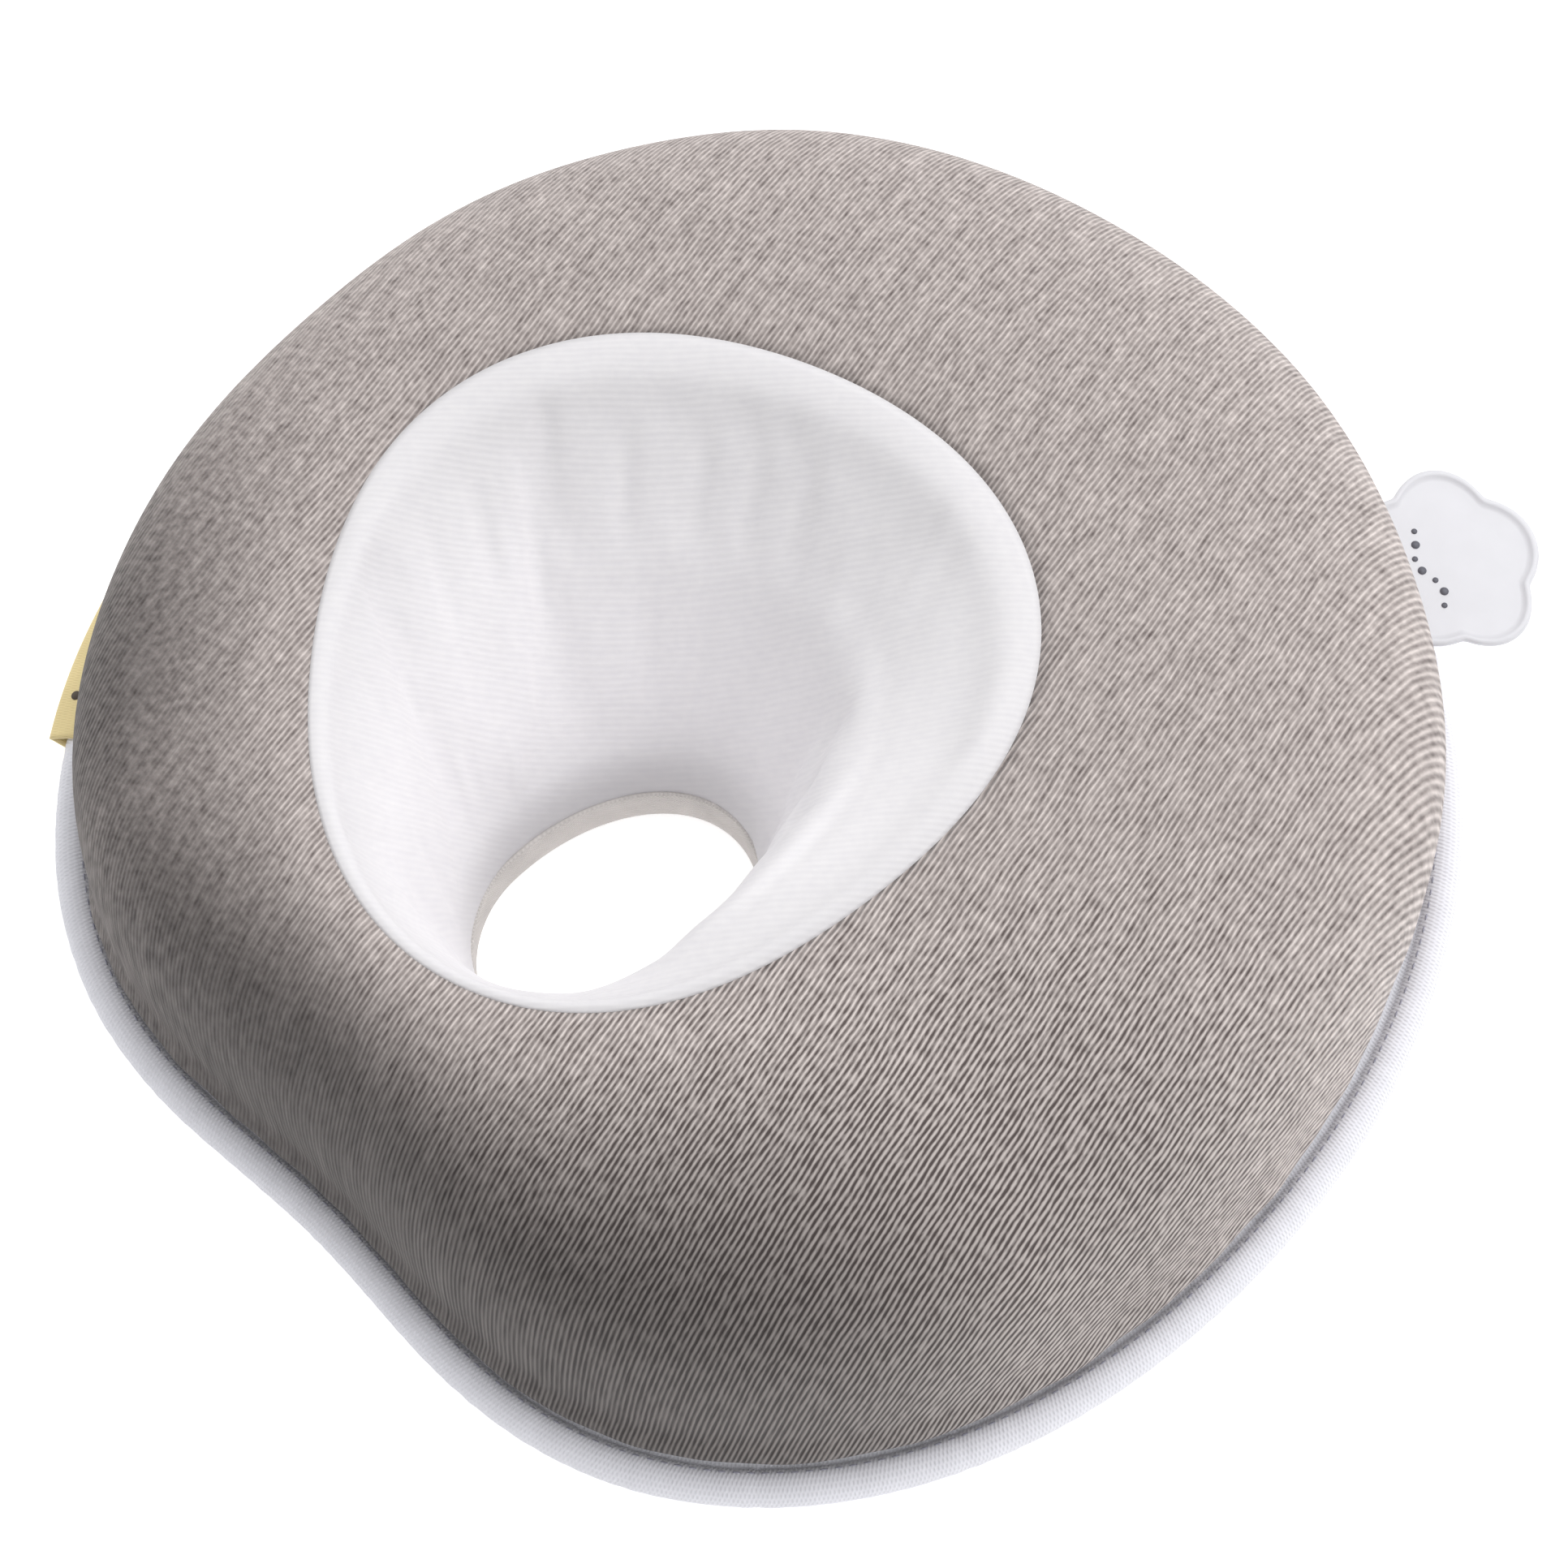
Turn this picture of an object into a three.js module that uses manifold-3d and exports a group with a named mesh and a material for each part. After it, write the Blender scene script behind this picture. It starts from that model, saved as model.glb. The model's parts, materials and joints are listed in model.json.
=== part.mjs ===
// Baby head support pillow: a moulded foam ring with a funnel-shaped head dish,
// in a knitted cover with a piped edge and a zip across the base.
// Millimetres, +Z up, +Y towards the head side, the neck notch faces -Y.
// Angles round the pillow are measured from +Y towards +X.
import * as THREE from 'three';
import { mergeVertices } from 'three/addons/utils/BufferGeometryUtils.js';
import Module from 'manifold-3d';

// ---- Driving dimensions -------------------------------------------------
// Outline, along the middle of the piping
const PILLOW_WIDTH = 240;
const OUTLINE_LENGTHEN = 0.02;
const OUTLINE_TAPER = 0.002;
const OUTLINE_SQUARENESS = -0.012;
const NOTCH_DEPTH = 15;
const NOTCH_HALF_WIDTH = degrees(17);
// Height of the crest, at the seam between the grey panel and the dish
const CREST_HEIGHT = 68;
const CREST_TILT = 4.5;
const CROWN_FULLNESS = 0.86;
// Dish seam, a soft rounded egg
const DISH_CENTRE_X = -12;
const DISH_CENTRE_Y = -11.5;
const DISH_RADIUS = 60;
const DISH_LENGTHEN = 0.034;
const DISH_TAPER = -0.048;
const DISH_TURN = degrees(-17);
// Towards the neck and +X the dish rolls over a full shoulder before it drops to the hole
const SHOULDER_ANGLE = degrees(86);
const SHOULDER_SPREAD = degrees(58);
// Through-hole
const HOLE_CENTRE_Y = -39.7;
const HOLE_WIDTH = 44;
const HOLE_HEAD_REACH = 32.5;
const HOLE_NECK_REACH = 22.3;
const HOLE_BAND_HEIGHT = 5.5;
// Fabrics and piping
const FABRIC_THICKNESS = 1;
const CLEARANCE = 0.3;
const PIPING_DIAMETER = 6.4;
const PIPING_COVER_THICKNESS = 0.8;
const PIPING_CENTRE_HEIGHT = 4.4;
const CORD_CLEARANCE = 0.5;
const FLANGE_THICKNESS = 0.8;
const FLANGE_REACH = 7.5;
const FLANGE_SLOT = 0.4;
const SEAM_INSET = 4.2;
// Base
const BASE_RIM_WIDTH = 16;
const BASE_RIM_RISE = 2;
// Zip across the base
const ZIP_LINE_Y = 38;
const ZIP_SLOT_WIDTH = 9.4;
const HEM_WIDTH = 8;
const HEM_HEIGHT = 2.8;
const TAPE_WIDTH = 10;
const TAPE_THICKNESS = 0.5;
const TEETH_PITCH = 4;
const TEETH_WIDTH = 2.6;
const TEETH_THICKNESS = 1.2;
const TEETH_SPLIT = 1.1;
const STOP_LENGTH = 3;
const SLIDER_LENGTH = 9;
const SLIDER_WIDTH = 7.6;
const SLIDER_PLATE = 0.7;
const BAIL_LENGTH = 3.4;
const BAIL_WIDTH = 1.4;
const BAIL_WALL = 0.4;
const PULL_LENGTH = 20;
const PULL_WIDTH = 5;
const PULL_THICKNESS = 0.6;
const PULL_BAR = 0.6;
// Labels
const LABEL_ANGLE = degrees(238.5);
const LABEL_LENGTH = 31;
const LABEL_THICKNESS = 0.6;
const LABEL_OVERHANG = 2;
const TAG_ANGLE = degrees(26);
const TAG_LENGTH = 38;
const TAG_REACH = 31;
const TAG_THICKNESS = 1.2;
const TAG_LOBES = 5;
const TAG_ROOT_INSET = 3.2;
// Facets
const AROUND = 60;
const CROWN_STEPS = 8;
const BOWL_STEPS = 9;

// ---- Values that follow from them ---------------------------------------
const PIPING_RADIUS = PIPING_DIAMETER / 2;
const CORD_RADIUS = PIPING_RADIUS - PIPING_COVER_THICKNESS - CORD_CLEARANCE;
const OUTLINE_RADIUS = (PILLOW_WIDTH / 2 - PIPING_RADIUS) / (1 - OUTLINE_LENGTHEN + OUTLINE_SQUARENESS);
const FLANGE_HALF = FLANGE_SLOT / 2 + FLANGE_THICKNESS;
const SEAM_HEIGHT = PIPING_CENTRE_HEIGHT + FLANGE_HALF + CLEARANCE;
const DISH_EDGE_HEIGHT = HOLE_BAND_HEIGHT + CLEARANCE;
const FOAM_INSET = FABRIC_THICKNESS + CLEARANCE;
const FOAM_EDGE_INSET = FLANGE_REACH + 2 * CLEARANCE;
const ZIP_SLOT_HALF = ZIP_SLOT_WIDTH / 2;
const TAPE_HEIGHT = HEM_HEIGHT + CLEARANCE;
const TEETH_HEIGHT = TAPE_HEIGHT + TAPE_THICKNESS / 2 - TEETH_THICKNESS / 2;
const TEETH_TOP = TEETH_HEIGHT + TEETH_THICKNESS;
const SLIDER_BOTTOM = TEETH_HEIGHT - CLEARANCE - SLIDER_PLATE;
const SLIDER_TOP = TEETH_TOP + CLEARANCE + SLIDER_PLATE;
const PULL_HEIGHT = SLIDER_BOTTOM - CLEARANCE - PULL_THICKNESS;
const ZIP_INSET = FLANGE_REACH + 2.5;
const RIM_INSET = SEAM_INSET + CLEARANCE;

const wasm = await Module();
wasm.setup();

function degrees(value) {
  return value * Math.PI / 180;
}

function bump(angle) {
  return Math.exp(-0.5 * angle * angle);
}

// ---- Curves of the pillow -----------------------------------------------
function outlinePoint(angle) {
  const turned = THREE.MathUtils.euclideanModulo(angle, 2 * Math.PI);
  const swell = 1 + OUTLINE_LENGTHEN * Math.cos(2 * angle) + OUTLINE_TAPER * Math.cos(3 * angle)
    + OUTLINE_SQUARENESS * Math.cos(4 * angle);
  const radius = OUTLINE_RADIUS * swell - NOTCH_DEPTH * bump((turned - Math.PI) / NOTCH_HALF_WIDTH);
  return new THREE.Vector2(radius * Math.sin(angle), radius * Math.cos(angle));
}

function dishPoint(angle) {
  const own = angle - DISH_TURN;
  const radius = DISH_RADIUS * (1 + DISH_LENGTHEN * Math.cos(2 * own) + DISH_TAPER * Math.cos(3 * own));
  const centre = new THREE.Vector2(DISH_CENTRE_X, DISH_CENTRE_Y);
  return new THREE.Vector2(radius * Math.sin(angle), radius * Math.cos(angle)).add(centre);
}

function holePoint(angle) {
  const reach = Math.cos(angle) > 0 ? HOLE_HEAD_REACH : HOLE_NECK_REACH;
  return new THREE.Vector2(HOLE_WIDTH / 2 * Math.sin(angle), HOLE_CENTRE_Y + reach * Math.cos(angle));
}

function crestHeight(angle) {
  return CREST_HEIGHT + CREST_TILT * Math.sin(angle);
}

function outwardNormal(curve, angle) {
  const step = 0.01;
  const along = curve(angle + step).sub(curve(angle - step)).normalize();
  return new THREE.Vector2(-along.y, along.x);
}

// A point moved outwards from a curve, square to it
function beside(curve, angle, outset, height) {
  const point = curve(angle).addScaledVector(outwardNormal(curve, angle), outset);
  return new THREE.Vector3(point.x, point.y, height);
}

// ---- Surface of the cover, as rings from the outer seam to the hole -------
const crownCurve = new THREE.CubicBezierCurve(
  new THREE.Vector2(1, 0),
  new THREE.Vector2(1, CROWN_FULLNESS),
  new THREE.Vector2(CROWN_FULLNESS, 1),
  new THREE.Vector2(0, 1),
);
const bowlCurve = new THREE.SplineCurve([
  new THREE.Vector2(0, 1),
  new THREE.Vector2(0.16, 0.93),
  new THREE.Vector2(0.45, 0.56),
  new THREE.Vector2(0.8, 0.26),
  new THREE.Vector2(0.94, 0.16),
  new THREE.Vector2(1, 0),
]);
const shoulderCurve = new THREE.SplineCurve([
  new THREE.Vector2(0, 1),
  new THREE.Vector2(0.3, 0.978),
  new THREE.Vector2(0.6, 0.968),
  new THREE.Vector2(0.82, 0.9),
  new THREE.Vector2(0.95, 0.366),
  new THREE.Vector2(1, 0),
]);

function ring(pointAt) {
  return Array.from({ length: AROUND }, (_, index) => pointAt(2 * Math.PI * index / AROUND));
}

function crownRing(share) {
  return ring((angle) => {
    const seam = beside(outlinePoint, angle, -SEAM_INSET, SEAM_HEIGHT);
    const dish = dishPoint(angle);
    const plan = dish.lerp(new THREE.Vector2(seam.x, seam.y), share.x);
    const height = THREE.MathUtils.lerp(SEAM_HEIGHT, crestHeight(angle), share.y);
    return new THREE.Vector3(plan.x, plan.y, height);
  });
}

function shoulderWeight(angle) {
  return Math.exp((Math.cos(angle - SHOULDER_ANGLE) - 1) / SHOULDER_SPREAD ** 2);
}

function bowlRing(row) {
  return ring((angle) => {
    const share = funnelShares[row].clone().lerp(shoulderShares[row], shoulderWeight(angle));
    const plan = dishPoint(angle).lerp(holePoint(angle), share.x);
    const height = THREE.MathUtils.lerp(DISH_EDGE_HEIGHT, crestHeight(angle), share.y);
    return new THREE.Vector3(plan.x, plan.y, height);
  });
}

const funnelShares = bowlCurve.getSpacedPoints(BOWL_STEPS);
const shoulderShares = shoulderCurve.getSpacedPoints(BOWL_STEPS);
const crownRings = crownCurve.getSpacedPoints(CROWN_STEPS).map(crownRing);
const bowlRings = funnelShares.map((_, row) => bowlRing(row));
const bandRing = ring((angle) => beside(holePoint, angle, 0, 0));
const coverRings = [...crownRings, ...bowlRings.slice(1), bandRing];
const DISH_SEAM = CROWN_STEPS;
const BAND_SEAM = CROWN_STEPS + BOWL_STEPS;

function coverNormal(row, column) {
  const before = coverRings[Math.max(row - 1, 0)][column];
  const after = coverRings[Math.min(row + 1, coverRings.length - 1)][column];
  const left = coverRings[row][(column + AROUND - 1) % AROUND];
  const right = coverRings[row][(column + 1) % AROUND];
  const inwards = after.clone().sub(before);
  const around = right.clone().sub(left);
  return inwards.cross(around).normalize();
}

// The cover's ring number row, sunk below the surface by depth
function sunkRing(row, depth) {
  return coverRings[row].map((point, column) => {
    const sunk = point.clone().addScaledVector(coverNormal(row, column), -depth);
    if (row === 0) {
      sunk.z = SEAM_HEIGHT;
    }
    if (row === BAND_SEAM) {
      sunk.z = DISH_EDGE_HEIGHT;
    }
    return sunk;
  });
}

function sunkRings(first, last, depth) {
  const rows = [];
  for (let row = first; row <= last; row += 1) {
    rows.push(sunkRing(row, depth));
  }
  return rows;
}

// Pulls the last ring back towards the one before it by a small distance
function trimEnd(rows, distance) {
  const last = rows.length - 1;
  rows[last] = rows[last].map((point, column) => {
    const back = rows[last - 1][column].clone().sub(point).setLength(distance);
    return back.add(point);
  });
  return rows;
}

// ---- Solids ---------------------------------------------------------------
function solidGeometry(points, faces) {
  const geometry = new THREE.BufferGeometry().setFromPoints(points);
  geometry.setIndex(faces.flat());
  if (signedVolume(geometry) < 0) {
    geometry.setIndex(faces.flatMap(([a, b, c]) => [a, c, b]));
  }
  return geometry;
}

function signedVolume(geometry) {
  const position = geometry.attributes.position;
  const index = geometry.index.array;
  const corners = [new THREE.Vector3(), new THREE.Vector3(), new THREE.Vector3()];
  let volume = 0;
  for (let start = 0; start < index.length; start += 3) {
    corners.forEach((corner, offset) => corner.fromBufferAttribute(position, index[start + offset]));
    volume += corners[0].dot(corners[1].clone().cross(corners[2]));
  }
  return volume;
}

// Closes a loop of rings into one solid that runs right round the pillow
function ringSolid(rings) {
  const faces = [];
  rings.forEach((_, row) => {
    const next = (row + 1) % rings.length;
    for (let column = 0; column < AROUND; column += 1) {
      const beyond = (column + 1) % AROUND;
      const corners = [row * AROUND + column, row * AROUND + beyond];
      const opposite = [next * AROUND + column, next * AROUND + beyond];
      faces.push([corners[0], corners[1], opposite[1]], [corners[0], opposite[1], opposite[0]]);
    }
  });
  return solidGeometry(rings.flat(), faces);
}

// Sweeps a section along a short stretch of the outline and caps both ends.
// The section's x is the distance out from the piping's middle, its y the height above it.
function outlineSweep(section, middle, length, steps) {
  const halfAngle = length / 2 / outlinePoint(middle).length();
  const points = [];
  for (let step = 0; step <= steps; step += 1) {
    const angle = middle + halfAngle * (2 * step / steps - 1);
    section.forEach((corner) => {
      points.push(beside(outlinePoint, angle, corner.x, PIPING_CENTRE_HEIGHT + corner.y));
    });
  }
  const count = section.length;
  const faces = [];
  for (let step = 0; step < steps; step += 1) {
    for (let corner = 0; corner < count; corner += 1) {
      const next = (corner + 1) % count;
      const low = step * count;
      const high = low + count;
      faces.push([low + corner, low + next, high + next], [low + corner, high + next, high + corner]);
    }
  }
  const cap = THREE.ShapeUtils.triangulateShape(section, []);
  const turn = THREE.ShapeUtils.area(section) < 0;
  cap.forEach(([a, b, c]) => {
    const end = steps * count;
    faces.push(turn ? [a, b, c] : [a, c, b]);
    faces.push(turn ? [end + a, end + c, end + b] : [end + a, end + b, end + c]);
  });
  return solidGeometry(points, faces);
}

function toManifold(geometry) {
  const bare = geometry.clone();
  bare.deleteAttribute('normal');
  bare.deleteAttribute('uv');
  const merged = mergeVertices(bare, 1e-4);
  return new wasm.Manifold(new wasm.Mesh({
    numProp: 3,
    vertProperties: new Float32Array(merged.attributes.position.array),
    triVerts: new Uint32Array(merged.index.array),
  }));
}

function toGeometry(manifold) {
  const mesh = manifold.getMesh();
  const geometry = new THREE.BufferGeometry();
  geometry.setAttribute('position', new THREE.BufferAttribute(mesh.vertProperties, 3));
  geometry.setIndex(new THREE.BufferAttribute(mesh.triVerts, 1));
  return geometry;
}

// A block given by its two ends along each axis
function block([x0, x1], [y0, y1], [z0, z1]) {
  return new THREE.BoxGeometry(x1 - x0, y1 - y0, z1 - z0)
    .translate((x0 + x1) / 2, (y0 + y1) / 2, (z0 + z1) / 2);
}

// A flat shape drawn in x and y, given a thickness upwards from height
function plate(points, height, thickness, holes = []) {
  const shape = new THREE.Shape(points);
  shape.holes = holes.map((hole) => new THREE.Path(hole));
  return new THREE.ExtrudeGeometry(shape, { depth: thickness, bevelEnabled: false, steps: 1 })
    .translate(0, 0, height);
}

function arcPoints(radius, from, to, steps) {
  return Array.from({ length: steps + 1 }, (_, index) => {
    const angle = THREE.MathUtils.lerp(from, to, index / steps);
    return new THREE.Vector2(radius * Math.cos(angle), radius * Math.sin(angle));
  });
}

// Half the distance across the pillow along a line of constant y, at an inset
function halfChord(lineY, inset) {
  let angle = degrees(5);
  while (beside(outlinePoint, angle, -inset, 0).y > lineY) {
    angle += degrees(0.05);
  }
  return beside(outlinePoint, angle, -inset, 0).x;
}

// ---- Pieces ---------------------------------------------------------------
// The underside of the base is flat, and its rim turns up to the seam
function baseRing(inset, rise, height) {
  return ring((angle) => beside(outlinePoint, angle, -inset, rise + height));
}

function foamCore() {
  const rows = [
    ...sunkRings(0, BAND_SEAM, FOAM_INSET),
    ring((angle) => beside(holePoint, angle, FOAM_INSET, FOAM_INSET)),
    baseRing(BASE_RIM_WIDTH, 0, FOAM_INSET),
    baseRing(FOAM_EDGE_INSET, BASE_RIM_RISE * 0.6, FOAM_INSET),
    baseRing(FOAM_EDGE_INSET, 0, SEAM_HEIGHT),
  ];
  const reliefHalf = ZIP_SLOT_HALF + HEM_WIDTH + 2 * CLEARANCE;
  const zipRelief = toManifold(block(
    [-PILLOW_WIDTH, PILLOW_WIDTH],
    [ZIP_LINE_Y - reliefHalf, ZIP_LINE_Y + reliefHalf],
    [-SLIDER_TOP, SLIDER_TOP + CLEARANCE],
  ));
  return toGeometry(toManifold(ringSolid(rows)).subtract(zipRelief));
}

function topPanel() {
  const outer = trimEnd(sunkRings(0, DISH_SEAM, 0), CLEARANCE / 2);
  const inner = trimEnd(sunkRings(0, DISH_SEAM, FABRIC_THICKNESS), CLEARANCE / 2);
  return ringSolid([...outer, ...inner.reverse()]);
}

function dishPanel() {
  const outer = trimEnd(sunkRings(DISH_SEAM, BAND_SEAM, 0).reverse(), CLEARANCE / 2);
  const inner = trimEnd(sunkRings(DISH_SEAM, BAND_SEAM, FABRIC_THICKNESS).reverse(), CLEARANCE / 2);
  return ringSolid([...outer, ...inner.reverse()]);
}

function holeBand() {
  return ringSolid([
    ring((angle) => beside(holePoint, angle, 0, 0)),
    ring((angle) => beside(holePoint, angle, 0, HOLE_BAND_HEIGHT)),
    ring((angle) => beside(holePoint, angle, FABRIC_THICKNESS, HOLE_BAND_HEIGHT)),
    ring((angle) => beside(holePoint, angle, FABRIC_THICKNESS, 0)),
  ]);
}

// One half of the base, on the head side (+1) or the neck side (-1) of the zip,
// with the folded hem that carries the zip tape
function basePanel(side) {
  const sheet = toManifold(ringSolid([
    ring((angle) => beside(holePoint, angle, FOAM_INSET, 0)),
    ring((angle) => beside(holePoint, angle, FOAM_INSET, FABRIC_THICKNESS)),
    baseRing(BASE_RIM_WIDTH, 0, FABRIC_THICKNESS),
    baseRing((BASE_RIM_WIDTH + RIM_INSET) / 2, BASE_RIM_RISE * 0.3, FABRIC_THICKNESS),
    baseRing(RIM_INSET, BASE_RIM_RISE, FABRIC_THICKNESS),
    baseRing(RIM_INSET, BASE_RIM_RISE, 0),
    baseRing((BASE_RIM_WIDTH + RIM_INSET) / 2, BASE_RIM_RISE * 0.3, 0),
    baseRing(BASE_RIM_WIDTH, 0, 0),
  ]));
  const edge = ZIP_LINE_Y + side * ZIP_SLOT_HALF;
  const far = ZIP_LINE_Y + side * 2 * PILLOW_WIDTH;
  const keep = toManifold(block(
    [-PILLOW_WIDTH, PILLOW_WIDTH],
    [edge, far].sort(ascending),
    [-CREST_HEIGHT, CREST_HEIGHT],
  ));
  const hemFar = edge + side * HEM_WIDTH;
  const hemEnd = Math.min(halfChord(edge, BASE_RIM_WIDTH), halfChord(hemFar, BASE_RIM_WIDTH));
  const hem = toManifold(block(
    [-hemEnd, hemEnd],
    [edge + side * CLEARANCE, hemFar].sort(ascending),
    [FABRIC_THICKNESS / 2, HEM_HEIGHT],
  ));
  return toGeometry(sheet.intersect(keep).add(hem));
}

function ascending(first, second) {
  return first - second;
}

function zipTape(side) {
  const near = ZIP_LINE_Y + side * (TEETH_SPLIT / 2 + TEETH_WIDTH + CLEARANCE);
  const far = near + side * TAPE_WIDTH * 0.75;
  const end = Math.min(halfChord(near, ZIP_INSET), halfChord(far, ZIP_INSET));
  return block([-end, end], [near, far].sort(ascending), [TAPE_HEIGHT, TAPE_HEIGHT + TAPE_THICKNESS]);
}

const ZIP_HALF_LENGTH = Math.min(
  halfChord(ZIP_LINE_Y - ZIP_SLOT_HALF, ZIP_INSET + BASE_RIM_WIDTH),
  halfChord(ZIP_LINE_Y + ZIP_SLOT_HALF, ZIP_INSET + BASE_RIM_WIDTH),
);
const SLIDER_CLOSED_X = ZIP_HALF_LENGTH - STOP_LENGTH - CLEARANCE - SLIDER_LENGTH / 2;

// A comb: a spine along the tape with one tooth at each pitch
function zipTeeth(side) {
  const length = 2 * (ZIP_HALF_LENGTH - STOP_LENGTH - CLEARANCE);
  const count = Math.floor(length / TEETH_PITCH);
  const pitch = length / count;
  const tip = TEETH_SPLIT / 2;
  const root = tip + TEETH_WIDTH / 2;
  const back = tip + TEETH_WIDTH;
  const points = [new THREE.Vector2(-length / 2, back)];
  for (let tooth = 0; tooth < count; tooth += 1) {
    const start = -length / 2 + tooth * pitch;
    points.push(new THREE.Vector2(start, root));
    points.push(new THREE.Vector2(start + pitch * 0.2, tip));
    points.push(new THREE.Vector2(start + pitch * 0.8, tip));
  }
  points.push(new THREE.Vector2(length / 2, root), new THREE.Vector2(length / 2, back));
  const placed = points.map((point) => new THREE.Vector2(point.x, ZIP_LINE_Y + side * point.y));
  return plate(placed, TEETH_HEIGHT, TEETH_THICKNESS);
}

function zipTopStop(side) {
  const near = ZIP_LINE_Y + side * TEETH_SPLIT / 2;
  const far = near + side * TEETH_WIDTH;
  const start = ZIP_HALF_LENGTH - STOP_LENGTH;
  return block([start, ZIP_HALF_LENGTH], [near, far].sort(ascending), [TEETH_HEIGHT, TEETH_TOP]);
}

function zipBottomStop() {
  const half = TEETH_SPLIT / 2 + TEETH_WIDTH;
  return block(
    [-ZIP_HALF_LENGTH, STOP_LENGTH - ZIP_HALF_LENGTH],
    [ZIP_LINE_Y - half, ZIP_LINE_Y + half],
    [TEETH_HEIGHT, TEETH_TOP],
  );
}

// Two plates and a thin web between the rows of teeth, with a bail below for the pull.
// Drawn about the slider's own middle.
function zipSlider() {
  const web = TEETH_SPLIT / 2 - CLEARANCE;
  const half = SLIDER_LENGTH / 2;
  const bottomPlate = toManifold(block(
    [-half, half],
    [-SLIDER_WIDTH / 2, SLIDER_WIDTH / 2],
    [SLIDER_BOTTOM, SLIDER_BOTTOM + SLIDER_PLATE],
  ));
  const topPlate = toManifold(block(
    [-half, half],
    [-SLIDER_WIDTH / 2, SLIDER_WIDTH / 2],
    [SLIDER_TOP - SLIDER_PLATE, SLIDER_TOP],
  ));
  const middle = toManifold(block([-half, half], [-web, web], [SLIDER_BOTTOM, SLIDER_TOP]));
  const bailBottom = PULL_HEIGHT - CLEARANCE - BAIL_WALL;
  const bail = toManifold(block(
    [-BAIL_LENGTH / 2, BAIL_LENGTH / 2],
    [-BAIL_WIDTH / 2, BAIL_WIDTH / 2],
    [bailBottom, SLIDER_BOTTOM + SLIDER_PLATE / 2],
  ));
  const eye = toManifold(block(
    [BAIL_WALL - BAIL_LENGTH / 2, BAIL_LENGTH / 2 - BAIL_WALL],
    [-BAIL_WIDTH, BAIL_WIDTH],
    [bailBottom + BAIL_WALL, SLIDER_BOTTOM],
  ));
  return toGeometry(bottomPlate.add(topPlate).add(middle).add(bail.subtract(eye)));
}

// A flat tab whose crossbar runs through the bail, drawn about the bar's axis
function zipPull() {
  const half = PULL_WIDTH / 2;
  const slotHalf = BAIL_WIDTH / 2 + CLEARANCE;
  const slotEnd = BAIL_LENGTH / 2 + 2 * CLEARANCE;
  const outline = [
    new THREE.Vector2(PULL_BAR / 2, -half),
    new THREE.Vector2(PULL_BAR / 2, half),
    new THREE.Vector2(half - PULL_LENGTH, half),
    ...arcPoints(half, degrees(90), degrees(270), 8)
      .slice(1, -1)
      .map((point) => point.add(new THREE.Vector2(half - PULL_LENGTH, 0))),
    new THREE.Vector2(half - PULL_LENGTH, -half),
  ];
  const slot = [
    new THREE.Vector2(-PULL_BAR / 2, -slotHalf),
    new THREE.Vector2(-PULL_BAR / 2, slotHalf),
    new THREE.Vector2(-slotEnd, slotHalf),
    new THREE.Vector2(-slotEnd, -slotHalf),
  ];
  return plate(outline, -PULL_THICKNESS / 2, PULL_THICKNESS, [slot]);
}

// A strip wrapped round the cord, with both of its edges in the seam
function pipingCoverSection() {
  const innerRadius = PIPING_RADIUS - PIPING_COVER_THICKNESS;
  const outerAngle = Math.PI - Math.asin(FLANGE_HALF / PIPING_RADIUS);
  const innerAngle = Math.PI - Math.asin(FLANGE_SLOT / 2 / innerRadius);
  return [
    ...arcPoints(PIPING_RADIUS, outerAngle, -outerAngle, 10),
    new THREE.Vector2(-FLANGE_REACH, -FLANGE_HALF),
    new THREE.Vector2(-FLANGE_REACH, -FLANGE_SLOT / 2),
    ...arcPoints(innerRadius, -innerAngle, innerAngle, 8),
    new THREE.Vector2(-FLANGE_REACH, FLANGE_SLOT / 2),
    new THREE.Vector2(-FLANGE_REACH, FLANGE_HALF),
  ];
}

function sectionRings(section) {
  return section.map((corner) => ring((angle) => (
    beside(outlinePoint, angle, corner.x, PIPING_CENTRE_HEIGHT + corner.y)
  )));
}

function pipingCord() {
  return ringSolid(sectionRings(arcPoints(CORD_RADIUS, 0, 2 * Math.PI, 6).slice(1)));
}

// A ribbon folded over the piping, with a small loop beyond it
function sideLabel() {
  const inner = PIPING_RADIUS + CLEARANCE;
  const outer = inner + LABEL_THICKNESS;
  const reach = new THREE.Vector2(LABEL_OVERHANG, 0);
  const tuckAngle = Math.PI - Math.acos((SEAM_INSET - 2 * CLEARANCE) / outer);
  const section = [
    ...arcPoints(outer, tuckAngle, degrees(90), 3),
    ...arcPoints(outer, degrees(90), degrees(-90), 6).map((point) => point.add(reach)),
    ...arcPoints(outer, degrees(-90), -tuckAngle, 3),
    ...arcPoints(inner, -tuckAngle, degrees(-90), 3),
    ...arcPoints(inner, degrees(-90), degrees(90), 6).map((point) => point.add(reach)),
    ...arcPoints(inner, degrees(90), tuckAngle, 3),
  ];
  return outlineSweep(section, LABEL_ANGLE, LABEL_LENGTH, 5);
}

// A cloud with a straight root, drawn with the root along y and the reach along +x
function cloudTag() {
  const middle = TAG_REACH * 0.46;
  const steps = TAG_LOBES * 8;
  const points = Array.from({ length: steps }, (_, index) => {
    const angle = 2 * Math.PI * index / steps;
    const lobe = 0.84 + 0.16 * Math.abs(Math.cos(TAG_LOBES * angle / 2));
    const x = middle + (TAG_REACH - middle) * lobe * Math.cos(angle);
    return new THREE.Vector2(Math.max(x, 0), TAG_LENGTH / 2 * lobe * Math.sin(angle));
  });
  return plate(points, -TAG_THICKNESS / 2, TAG_THICKNESS);
}

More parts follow.
